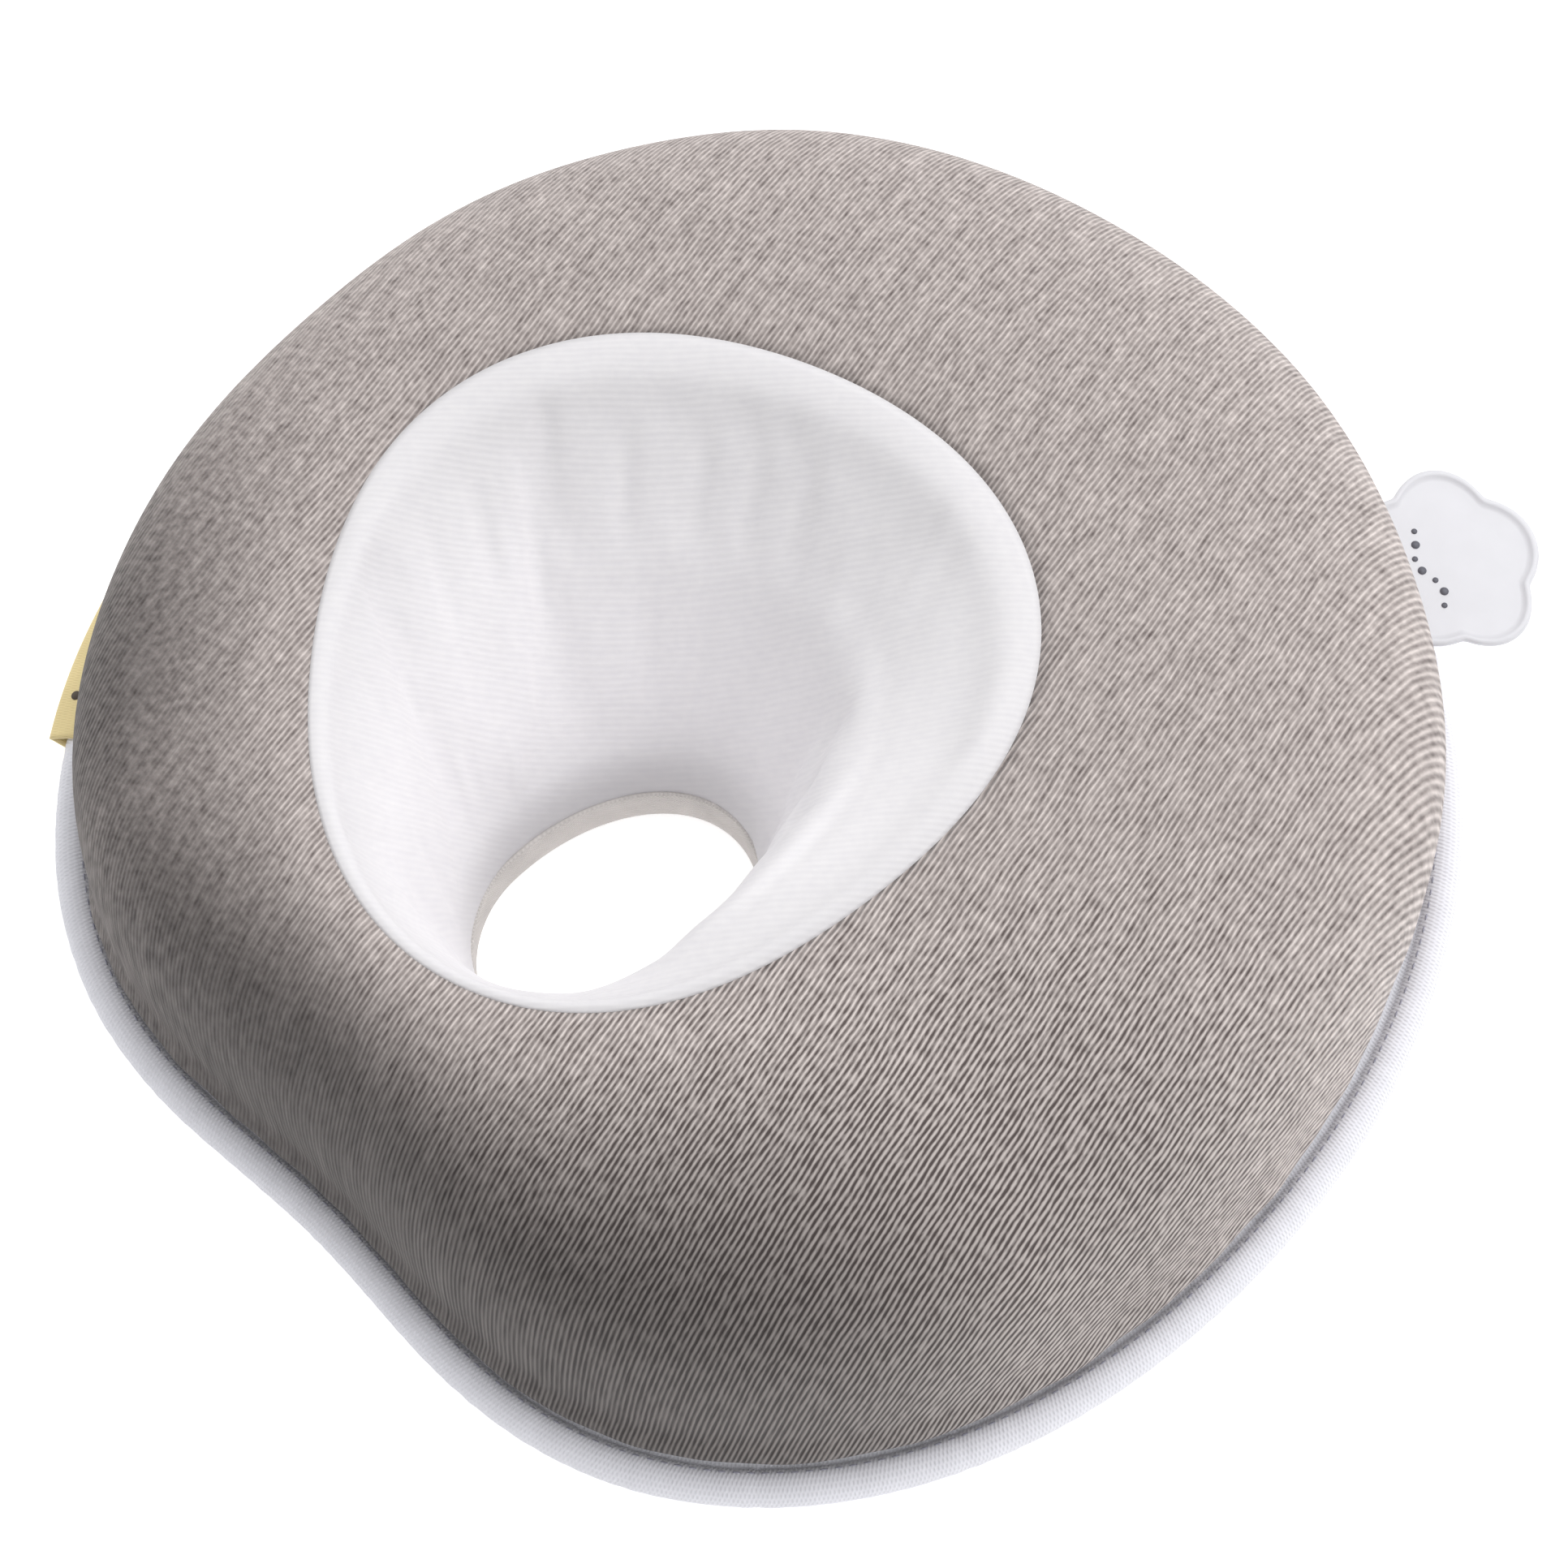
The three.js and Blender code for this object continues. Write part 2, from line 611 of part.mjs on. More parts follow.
// ---- Assembly -------------------------------------------------------------
function fabric(color, roughness = 0.95) {
  return new THREE.MeshStandardMaterial({ color, roughness, metalness: 0 });
}

const greyKnit = fabric(0xa49c99);
const whiteKnit = fabric(0xe6e4e4);
const paleBand = fabric(0xd9d5d2);
const pipingSateen = fabric(0xe4e4ec, 0.8);
const baseMesh = fabric(0xdedcda);
const foam = fabric(0xf2efe4, 1);
const zipWhite = fabric(0xe9e9e9, 0.6);
const zipPlastic = fabric(0xe0e0e0, 0.4);
const yellowSatin = fabric(0xf8e4aa, 0.6);
const milkyVinyl = fabric(0xececee, 0.3);

const pillow = new THREE.Group();

function addPart(parent, name, geometry, material) {
  const mesh = new THREE.Mesh(geometry, material);
  mesh.name = name;
  parent.add(mesh);
  return mesh;
}

addPart(pillow, 'foam_core', foamCore(), foam);
addPart(pillow, 'top_panel', topPanel(), greyKnit);
addPart(pillow, 'dish_panel', dishPanel(), whiteKnit);
addPart(pillow, 'hole_band', holeBand(), paleBand);
addPart(pillow, 'piping_cover', ringSolid(sectionRings(pipingCoverSection())), pipingSateen);
addPart(pillow, 'piping_cord', pipingCord(), foam);
[['head', 1], ['neck', -1]].forEach(([place, side]) => {
  addPart(pillow, `base_panel_${place}`, basePanel(side), baseMesh);
  addPart(pillow, `zip_tape_${place}`, zipTape(side), zipWhite);
  addPart(pillow, `zip_teeth_${place}`, zipTeeth(side), zipPlastic);
  addPart(pillow, `zip_top_stop_${place}`, zipTopStop(side), zipPlastic);
});
addPart(pillow, 'zip_bottom_stop', zipBottomStop(), zipPlastic);
addPart(pillow, 'side_label', sideLabel(), yellowSatin);

const slider = new THREE.Group();
slider.position.set(SLIDER_CLOSED_X, ZIP_LINE_Y, 0);
addPart(slider, 'zip_slider', zipSlider(), zipPlastic);
const pull = addPart(slider, 'zip_pull', zipPull(), zipPlastic);
pull.position.z = PULL_HEIGHT + PULL_THICKNESS / 2;
pillow.add(slider);

const tag = addPart(pillow, 'cloud_tag', cloudTag(), milkyVinyl);
const tagHeight = PIPING_CENTRE_HEIGHT + PIPING_RADIUS + 2 * CLEARANCE + TAG_THICKNESS / 2;
const tagNormal = outwardNormal(outlinePoint, TAG_ANGLE);
tag.position.copy(beside(outlinePoint, TAG_ANGLE, -TAG_ROOT_INSET, tagHeight));
tag.rotation.z = Math.atan2(tagNormal.y, tagNormal.x);

// The origin is on the base plane, below the middle of the whole part's box
const middleOfBox = new THREE.Box3().setFromObject(pillow, true).getCenter(new THREE.Vector3());
pillow.position.set(-middleOfBox.x, -middleOfBox.y, 0);

export default pillow;
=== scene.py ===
"""Baby head support pillow: fabric, foam, piping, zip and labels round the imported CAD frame.

Metres, +Z up, +Y towards the head side. Angles round the pillow run from +Y towards +X.
"""

import json
import math
from math import radians

import bmesh
import bpy
import numpy as np
from mathutils import Matrix, Vector


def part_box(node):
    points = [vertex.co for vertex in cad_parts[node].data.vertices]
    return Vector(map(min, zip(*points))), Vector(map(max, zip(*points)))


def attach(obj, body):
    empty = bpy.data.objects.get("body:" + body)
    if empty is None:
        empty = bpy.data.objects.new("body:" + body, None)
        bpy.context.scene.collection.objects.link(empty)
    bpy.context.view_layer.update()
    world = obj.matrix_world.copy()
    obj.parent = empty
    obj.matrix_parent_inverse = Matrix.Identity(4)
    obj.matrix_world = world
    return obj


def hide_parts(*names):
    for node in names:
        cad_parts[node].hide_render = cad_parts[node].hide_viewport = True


bl_info = {
    "name": "Baby head support pillow",
    "version": (1, 0, 0),
    "blender": (4, 5, 0),
    "location": "View3D > Sidebar > Pillow",
    "description": "Builds the knitted cover, foam, piping, zip and labels of a head support pillow",
    "category": "Object",
}

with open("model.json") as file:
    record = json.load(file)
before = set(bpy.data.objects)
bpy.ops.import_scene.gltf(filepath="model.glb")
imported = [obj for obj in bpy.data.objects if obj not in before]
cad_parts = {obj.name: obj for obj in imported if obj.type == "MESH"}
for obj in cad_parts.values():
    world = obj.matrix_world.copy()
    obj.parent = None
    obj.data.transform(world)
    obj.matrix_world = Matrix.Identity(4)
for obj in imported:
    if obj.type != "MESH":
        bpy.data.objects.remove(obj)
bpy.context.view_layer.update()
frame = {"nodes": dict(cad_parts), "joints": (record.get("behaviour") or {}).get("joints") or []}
PIPING_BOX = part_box("piping_cover")
BAND_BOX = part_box("hole_band")
BASE_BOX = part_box("base_panel_head")
SLIDER_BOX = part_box("zip_slider")
PULL_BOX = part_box("zip_pull")
TAG_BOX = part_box("cloud_tag")
MM = 0.001
FULL_TURN = 2 * math.pi
ROUND = 480
SIM_ROUND = 96


def linear(code):
    """Linear RGBA from an sRGB hex code."""
    parts = [int(code[i : i + 2], 16) / 255 for i in (1, 3, 5)]
    return (*(p / 12.92 if p <= 0.04045 else ((p + 0.055) / 1.055) ** 2.4 for p in parts), 1.0)


def length(name, description, default):
    """A length property in metres."""
    return bpy.props.FloatProperty(
        name=name, description=description, default=default, min=0.0, unit="LENGTH"
    )


def colour(name, description, code):
    """A colour property from an sRGB hex code."""
    return bpy.props.FloatVectorProperty(
        name=name, description=description, default=linear(code), size=4, min=0.0, max=1.0, subtype="COLOR"
    )


class PillowSizes(bpy.types.PropertyGroup):
    """Sizes of the pillow."""

    width: length("Width", "Width over the piping", PIPING_BOX[1].x - PIPING_BOX[0].x)
    notch: length("Notch", "Depth of the neck notch", 15 * MM)
    crest: length("Crest", "Height of the dish seam above the base", 68 * MM)
    crest_tilt: length("Crest tilt", "Extra height of the crest on the +X side", 4.5 * MM)
    dish: length("Dish radius", "Mean radius of the dish seam", 60 * MM)
    piping: length("Piping", "Diameter of the piping", PIPING_BOX[1].z - PIPING_BOX[0].z)
    fabric: length("Fabric", "Thickness of the knitted fabric", 1 * MM)
    rib: length("Rib pitch", "Distance between two ribs of the grey knit", 0.88 * MM)
    white_rib: length("White rib pitch", "Distance between two ribs of the white knit", 1.1 * MM)
    band: length("Hole band", "Height of the binding round the hole", 9 * MM)
    stitch: length("Stitch", "Distance between two stitches of the seams", 2.4 * MM)
    swell: length("Swell", "Most that the cloth may swell past the foam", 2.2 * MM)


class PillowColours(bpy.types.PropertyGroup):
    """Colours of the finishes."""

    grey_light: colour("Grey knit, rib", "Raised ribs of the grey melange knit", "#DCD2CE")
    grey_dark: colour("Grey knit, groove", "Grooves and dark fibres of the grey knit", "#5F5553")
    white: colour("White knit", "White knit of the dish", "#F1EFEF")
    white_shade: colour("White knit, groove", "Grooves of the white knit", "#D9D7DC")
    band: colour("Hole band", "Greige binding round the hole", "#DFDAD6")
    piping: colour("Piping", "White piping fabric", "#F1F1F8")
    foam: colour("Foam", "Moulded foam", "#F2EDDC")
    base: colour("Base mesh", "White air mesh of the base", "#E9E8E6")
    tape: colour("Zip tape", "Woven zip tape", "#E6E6E6")
    zip: colour("Zip plastic", "Moulded zip parts", "#E3E2E0")
    label: colour("Label", "Yellow satin ribbon", "#F8E3A6")
    ink: colour("Ink", "Printed marks", "#5A5046")
    vinyl: colour("Tag", "Milky soft vinyl", "#DDDDE2")
    # the thread's grey is painted shade of the dimples the stitches sit in
    thread: colour("Thread", "Sewing thread", "#A4A4B2")


def sizes():
    return bpy.context.scene.pillow_sizes


def tones():
    return bpy.context.scene.pillow_colours


# ---- Curves and surfaces of the pillow --------------------------------------
OVAL, LEAN, SQUARE = 0.02, 0.002, 0.012
HEAD_SHARE = 1 + OVAL + LEAN - SQUARE
NOTCH_ANGLE = radians(17)
PIPING_HEIGHT = (PIPING_BOX[0].z + PIPING_BOX[1].z) / 2
PIPING_LENGTH = 748 * MM
CORD_RADIUS, STRAND_TURNS = 1.85 * MM, 94
SEAM_INSET, SEAM_HEIGHT = 4.2 * MM, 5.7 * MM
STITCH_INSET, STITCH_RISE = 1.95 * MM, 2.5 * MM
DISH_EDGE_HEIGHT = 5.8 * MM
DISH_OFFSET = (-12 * MM, -11.5 * MM)
DISH_TURN = radians(17)
HOLE_HALF = (BAND_BOX[1].x - BAND_BOX[0].x) / 2 - 1 * MM
HOLE_HEAD, HOLE_NECK = 32.5 * MM, 22.3 * MM
HOLE_LENGTH = 172 * MM
SHOULDER_ANGLE, SHOULDER_SPREAD = radians(86), radians(58)
CROWN_ROWS, BOWL_ROWS = 48, 56
RIB_DIRECTION, WHITE_RIB_DIRECTION = radians(100), radians(44)
BASE_RIM = 16 * MM
MESH_HOLE_PITCH = 2.4 * MM
ZIP_Y = (SLIDER_BOX[0].y + SLIDER_BOX[1].y) / 2
ZIP_GAP = (BASE_BOX[0].y - ZIP_Y) * 2
HEM_WIDTH = 8 * MM
TAPE_RIB, TOOTH_PITCH = 1.2 * MM, 2 * MM
LABEL_ANGLE, LABEL_LENGTH = radians(238.5), 31 * MM
TAG_ANGLE, TAG_TURN = radians(26), 1.126
TAG_REACH, TAG_WIDTH = 31 * MM, 38 * MM
CROWN_BEZIER = [(1, 0), (1, 0.86), (0.86, 1), (0, 1)]
FUNNEL_POINTS = [(0, 1), (0.08, 0.987), (0.16, 0.93), (0.45, 0.56), (0.8, 0.26), (0.94, 0.16), (1, 0)]
SHOULDER_POINTS = [(0, 1), (0.15, 0.993), (0.3, 0.978), (0.6, 0.968), (0.82, 0.9), (0.95, 0.366), (1, 0)]


def near(where, centre, width, power=2):
    """A share that is 1 at the centre and falls away smoothly over the width."""
    return np.exp(-(((where - centre) / width) ** power))


def mean_radius():
    """Mean radius of the piping's middle line."""
    return (sizes().width - sizes().piping) / 2 / (1 - OVAL - SQUARE)


def outline(angle):
    """Plan points along the middle of the piping."""
    s = sizes()
    radius = mean_radius()
    swell = 1 + OVAL * np.cos(2 * angle) + LEAN * np.cos(3 * angle) - SQUARE * np.cos(4 * angle)
    turned = np.mod(angle, FULL_TURN)
    reach = radius * swell - s.notch * np.exp(-0.5 * ((turned - math.pi) / NOTCH_ANGLE) ** 2)
    shift = PIPING_BOX[1].y - s.piping / 2 - radius * HEAD_SHARE
    return np.stack([reach * np.sin(angle), reach * np.cos(angle) + shift], -1)


def frame_shift():
    """How far the pillow's own centre lies from the frame's origin along Y."""
    return outline(np.zeros(1))[0, 1] - mean_radius() * HEAD_SHARE


def dish_edge(angle):
    own = angle + DISH_TURN
    reach = sizes().dish * (1 + 0.034 * np.cos(2 * own) - 0.048 * np.cos(3 * own))
    x = reach * np.sin(angle) + DISH_OFFSET[0]
    y = reach * np.cos(angle) + DISH_OFFSET[1] + frame_shift()
    return np.stack([x, y], -1)


def hole_edge(angle):
    reach = np.where(np.cos(angle) > 0, HOLE_HEAD, HOLE_NECK)
    x = HOLE_HALF * np.sin(angle)
    y = BAND_BOX[1].y - 1 * MM - HOLE_HEAD + reach * np.cos(angle)
    return np.stack([x, y], -1)


def beside(curve, angle, outset):
    """Plan points moved outwards from a curve, square to it."""
    along = curve(angle + 0.01) - curve(angle - 0.01)
    along = along / np.linalg.norm(along, axis=-1, keepdims=True)
    return curve(angle) + np.stack([-along[..., 1], along[..., 0]], -1) * np.asarray(outset)[..., None]


def crest_height(angle):
    return sizes().crest + sizes().crest_tilt * np.sin(angle)


def spaced(points, count):
    """count + 1 points evenly spaced along a polyline."""
    points = np.asarray(points, float)
    steps = np.r_[0, np.cumsum(np.linalg.norm(np.diff(points, axis=0), axis=1))]
    where = np.linspace(0, steps[-1], count + 1)
    return np.stack([np.interp(where, steps, points[:, k]) for k in range(points.shape[1])], -1)


def through(values, where):
    """Catmull-Rom curve through the rows of values, read at the positions where."""
    values = np.asarray(values, float)
    last = len(values) - 1
    low = np.clip(np.floor(where).astype(int), 0, last - 1)
    t = (where - low).reshape([-1] + [1] * (values.ndim - 1))
    a, b, c, d = (values[np.clip(low + k, 0, last)] for k in (-1, 0, 1, 2))
    return b + 0.5 * t * (c - a + t * (2 * a - 5 * b + 4 * c - d + t * (3 * (b - c) + d - a)))


def crown_profile(count):
    t = np.linspace(0, 1, 400)[:, None]
    a, b, c, d = (np.array(p) for p in CROWN_BEZIER)
    curve = (1 - t) ** 3 * a + 3 * (1 - t) ** 2 * t * b + 3 * (1 - t) * t * t * c + t**3 * d
    return spaced(curve, count)


def bowl_profile(count, angle):
    """Shares along the dish: a funnel, and over the +X side a full shoulder."""
    shapes = []
    for points in (FUNNEL_POINTS, SHOULDER_POINTS):
        shapes.append(spaced(through(points, np.linspace(0, len(points) - 1, 400)), count)[:, None])
    weight = np.exp((np.cos(angle - SHOULDER_ANGLE) - 1) / SHOULDER_SPREAD**2)[:, None]
    return shapes[0] + (shapes[1] - shapes[0]) * weight


def angles(columns):
    return FULL_TURN * np.arange(columns) / columns


def solid_points(plan, height):
    return np.concatenate([plan, np.broadcast_to(height, plan.shape[:-1])[..., None]], -1)


def level(plan, height):
    """One ring of points, all at a height or each at its own."""
    return solid_points(plan, height)[None]


def crown(columns, rows):
    """The top surface, as rings from the outer seam to the dish seam."""
    angle = angles(columns)
    share = crown_profile(rows)[:, None]
    inner = dish_edge(angle)
    plan = inner + (beside(outline, angle, -SEAM_INSET) - inner) * share[..., :1]
    return solid_points(plan, SEAM_HEIGHT + (crest_height(angle) - SEAM_HEIGHT) * share[..., 1])


def bowl(columns, rows):
    """The dish, as rings from its seam to the edge of the hole."""
    angle = angles(columns)
    share = bowl_profile(rows, angle)
    outer = dish_edge(angle)
    plan = outer + (hole_edge(angle) - outer) * share[..., :1]
    return solid_points(plan, DISH_EDGE_HEIGHT + (crest_height(angle) - DISH_EDGE_HEIGHT) * share[..., 1])


def base_ring(columns, inset, height):
    return level(beside(outline, angles(columns), -inset), height)


def normals(points):
    """Unit normals of a ring grid that runs inwards, with the fabric's outside as positive."""
    around = np.roll(points, -1, 1) - np.roll(points, 1, 1)
    found = np.cross(np.gradient(points, axis=0), around)
    return found / np.maximum(np.linalg.norm(found, axis=-1, keepdims=True), 1e-12)


def waves(angle, low, high, count, seed):
    """A gentle seeded ripple round the pillow, about -1 to 1."""
    draw = np.random.default_rng(seed)
    total = np.zeros_like(angle)
    for _ in range(count):
        total += np.sin(draw.integers(low, high) * angle + draw.uniform(0, FULL_TURN))
    return total / math.sqrt(count) / 1.5


# ---- Meshes ------------------------------------------------------------------
def grid_bmesh(points, weave=None, wrap=True, marks=()):
    """A bmesh grid laid on rows of points. With wrap it closes round the pillow.

    Marks are named numbers for each point, such as the painted shade on the fabric there.
    """
    rows, columns = points.shape[:2]
    faces_round = columns if wrap else columns - 1
    bm = bmesh.new()
    bmesh.ops.create_grid(bm, x_segments=faces_round, y_segments=rows - 1, size=0.5)
    bm.verts.ensure_lookup_table()
    line = faces_round + 1
    for index, vert in enumerate(bm.verts):
        vert.co = points[index // line, index % line % columns]
    if weave is not None:
        layer = bm.loops.layers.uv.new("weave")
        for face in bm.faces:
            for loop in face.loops:
                index = loop.vert.index
                loop[layer].uv = weave[index // line, index % line]
    for name, values in dict(marks).items():
        layer = bm.verts.layers.float.new(name)
        for index, vert in enumerate(bm.verts):
            vert[layer] = values[index // line, index % line % columns]
    if wrap:
        bmesh.ops.remove_doubles(bm, verts=bm.verts, dist=1e-7)
    bm.normal_update()
    return bm


def turn_faces(bm, away):
    """Turns the faces over if they look against away, a function of a face."""
    looking = sum(face.normal.dot(away(face)) * face.calc_area() for face in bm.faces)
    if looking < 0:
        bmesh.ops.reverse_faces(bm, faces=bm.faces)


def finish_piece(bm, name, material, body="pillow", smooth=True, replaced=()):
    """Turns a bmesh into a named piece with its finish, on its body."""
    mesh = bpy.data.meshes.new(name)
    bm.to_mesh(mesh)
    bm.free()
    mesh.polygons.foreach_set("use_smooth", [smooth] * len(mesh.polygons))
    mesh.materials.append(material)
    piece = bpy.data.objects.new(name, mesh)
    bpy.context.scene.collection.objects.link(piece)
    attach(piece, body)
    if replaced:
        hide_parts(*replaced)
    return piece


def thicken(piece, thickness):
    """Gives a sheet its thickness, behind its outside face."""
    solid = piece.modifiers.new("Thickness", "SOLIDIFY")
    solid.thickness = thickness
    solid.offset = -1
    solid.use_even_offset = False
    return piece


def with_closing_column(values):
    return np.concatenate([values, values[:, :1]], 1)


def round_off(bm, edges, offset, segments=2):
    bmesh.ops.bevel(
        bm,
        geom=list(edges),
        offset=offset,
        offset_type="OFFSET",
        segments=segments,
        profile=0.5,
        affect="EDGES",
        clamp_overlap=True,
        material=-1,
    )


def add_block(bm, low, high):
    """Adds a block between two corners and returns its new vertices."""
    low, high = Vector(low), Vector(high)
    place = Matrix.Translation((low + high) / 2) @ Matrix.Diagonal((*(high - low), 1))
    return bmesh.ops.create_cube(bm, size=1, matrix=place)["verts"]


def edges_of(verts):
    return {edge for vert in verts for edge in vert.link_edges}


def add_rounded_block(bm, low, high, radius, segments):
    round_off(bm, edges_of(add_block(bm, low, high)), radius, segments)


def raise_faces(bm, faces, height):
    """Extrudes flat faces upwards and returns the new vertices."""
    made = bmesh.ops.extrude_face_region(bm, geom=faces)
    lifted = [item for item in made["geom"] if isinstance(item, bmesh.types.BMVert)]
    bmesh.ops.translate(bm, verts=lifted, vec=(0, 0, height))
    return lifted


def add_stitch(bm, place, half_sizes):
    """Adds one stitch, a small ellipsoid of thread."""
    shape = Matrix.Diagonal((*half_sizes, 1))
    bmesh.ops.create_uvsphere(bm, u_segments=6, v_segments=4, radius=1, matrix=place @ shape)


# ---- Cloth -------------------------------------------------------------------
_cloth = {}


def cloth_swell():
    """Lets the cover swell like stuffed cloth, sewn down at its seams.

    Returns how far the crown rows and the bowl rows move.
    """
    if _cloth:
        return _cloth
    crown_rows, bowl_rows = 14, 14
    top, dish = crown(SIM_ROUND, crown_rows), bowl(SIM_ROUND, bowl_rows)
    angle = angles(SIM_ROUND)
    rings = [top, dish[1:], level(hole_edge(angle), 0.0)]
    rings += [base_ring(SIM_ROUND, inset, 0.0) for inset in (45 * MM, 30 * MM, BASE_RIM)]
    rings = np.concatenate([*rings, base_ring(SIM_ROUND, SEAM_INSET, 2 * MM)])
    rows = len(rings)
    bm = grid_bmesh(np.concatenate([rings, rings[:1]]))
    bmesh.ops.recalc_face_normals(bm, faces=bm.faces)
    mesh = bpy.data.meshes.new("cloth_trial")
    bm.to_mesh(mesh)
    bm.free()
    trial = bpy.data.objects.new("cloth_trial", mesh)
    bpy.context.scene.collection.objects.link(trial)
    rest = np.array([v.co for v in mesh.vertices])
    grid = rings.reshape(-1, 3)
    owner = [int(np.argmin(((grid - point) ** 2).sum(1))) for point in rest]
    sewn = {0, crown_rows, crown_rows + bowl_rows, *range(crown_rows + bowl_rows + 1, rows)}
    held = trial.vertex_groups.new(name="held")
    held.add([v for v, o in enumerate(owner) if o // SIM_ROUND in sewn], 1.0, "REPLACE")
    cloth = trial.modifiers.new("Cloth", "CLOTH")
    cloth.settings.use_pressure = True
    cloth.settings.uniform_pressure_force = 4
    cloth.settings.vertex_group_mass = "held"
    cloth.settings.effector_weights.gravity = 0
    for number in range(1, 21):
        bpy.context.scene.frame_set(number)
    made = trial.evaluated_get(bpy.context.evaluated_depsgraph_get()).data
    moved = np.array([v.co for v in made.vertices]) - rest
    bpy.context.scene.frame_set(1)
    bpy.data.objects.remove(trial)
    shift = np.zeros((rows * SIM_ROUND, 3))
    shift[owner] = moved
    shift = shift.reshape(rows, SIM_ROUND, 3)
    most = np.linalg.norm(shift, axis=-1, keepdims=True)
    shift *= np.minimum(1, sizes().swell / np.maximum(most, 1e-9))
    print("cloth moved up to", round(float(most.max()) * 1000, 2), "mm before the cap")
    _cloth["crown"] = shift[: crown_rows + 1]
    _cloth["bowl"] = shift[crown_rows : crown_rows + bowl_rows + 1]
    return _cloth


def swollen(points, part):
    """Adds the cloth's own movement to a finer grid of the same part."""
    moved = cloth_swell()
    if not moved:
        return points
    coarse = moved[part]
    rows, columns = points.shape[:2]
    tall = through(coarse, np.linspace(0, len(coarse) - 1, rows))
    wide = np.concatenate([tall[:, -2:], tall, tall[:, :3]], 1).swapaxes(0, 1)
    fine = through(wide, 2 + np.arange(columns) * coarse.shape[1] / columns).swapaxes(0, 1)
    return points + fine


def unrolled(points, edge, toward, direction, share):
    """Weave coordinates in metres, across and along ribs that lie in the given direction.

    Share says how much of the slope's own length counts, from none to all of it.
    """
    steps = np.linalg.norm(np.diff(points, axis=0), axis=-1)
    run = np.concatenate([np.zeros((1, points.shape[1])), np.cumsum(steps, axis=0)])
    outward = toward - edge
    outward = outward / np.linalg.norm(outward, axis=-1, keepdims=True)
    flat = edge[None] + outward[None] * run[..., None]
    mixed = points[..., :2] * (1 - share[None, :, None]) + flat * share[None, :, None]
    across = mixed @ np.array([math.sin(direction), -math.cos(direction)])
    along = mixed @ np.array([math.cos(direction), math.sin(direction)])
    return with_closing_column(np.stack([across, along], -1))


# ---- Materials ---------------------------------------------------------------
def node(tree, kind, sockets=(), **settings):
    """Adds a shader node; a socket's value may be another node's output."""
    made = tree.nodes.new("ShaderNode" + kind)
    for key, value in settings.items():
        setattr(made, key, value)
    for key, value in dict(sockets).items():
        if isinstance(value, bpy.types.NodeSocket):
            tree.links.new(value, made.inputs[key])
        else:
            made.inputs[key].default_value = value
    return made


def surface(name, sockets):
    """A new material with one Principled shader."""
    material = bpy.data.materials.new(name)
    material.use_nodes = True
    tree = material.node_tree
    tree.nodes.clear()
    shader = node(tree, "BsdfPrincipled", sockets)
    node(tree, "OutputMaterial", {"Surface": shader.outputs[0]})
    return material, tree, shader


def finish_surface(tree, shader, tone, height, strength, depth):
    """Gives a shader its pattern's tone, and its relief as a bump of a real depth."""
    tree.links.new(tone, shader.inputs["Base Color"])
    bump = node(tree, "Bump", {"Strength": strength, "Distance": depth, "Height": height})
    tree.links.new(bump.outputs[0], shader.inputs["Normal"])


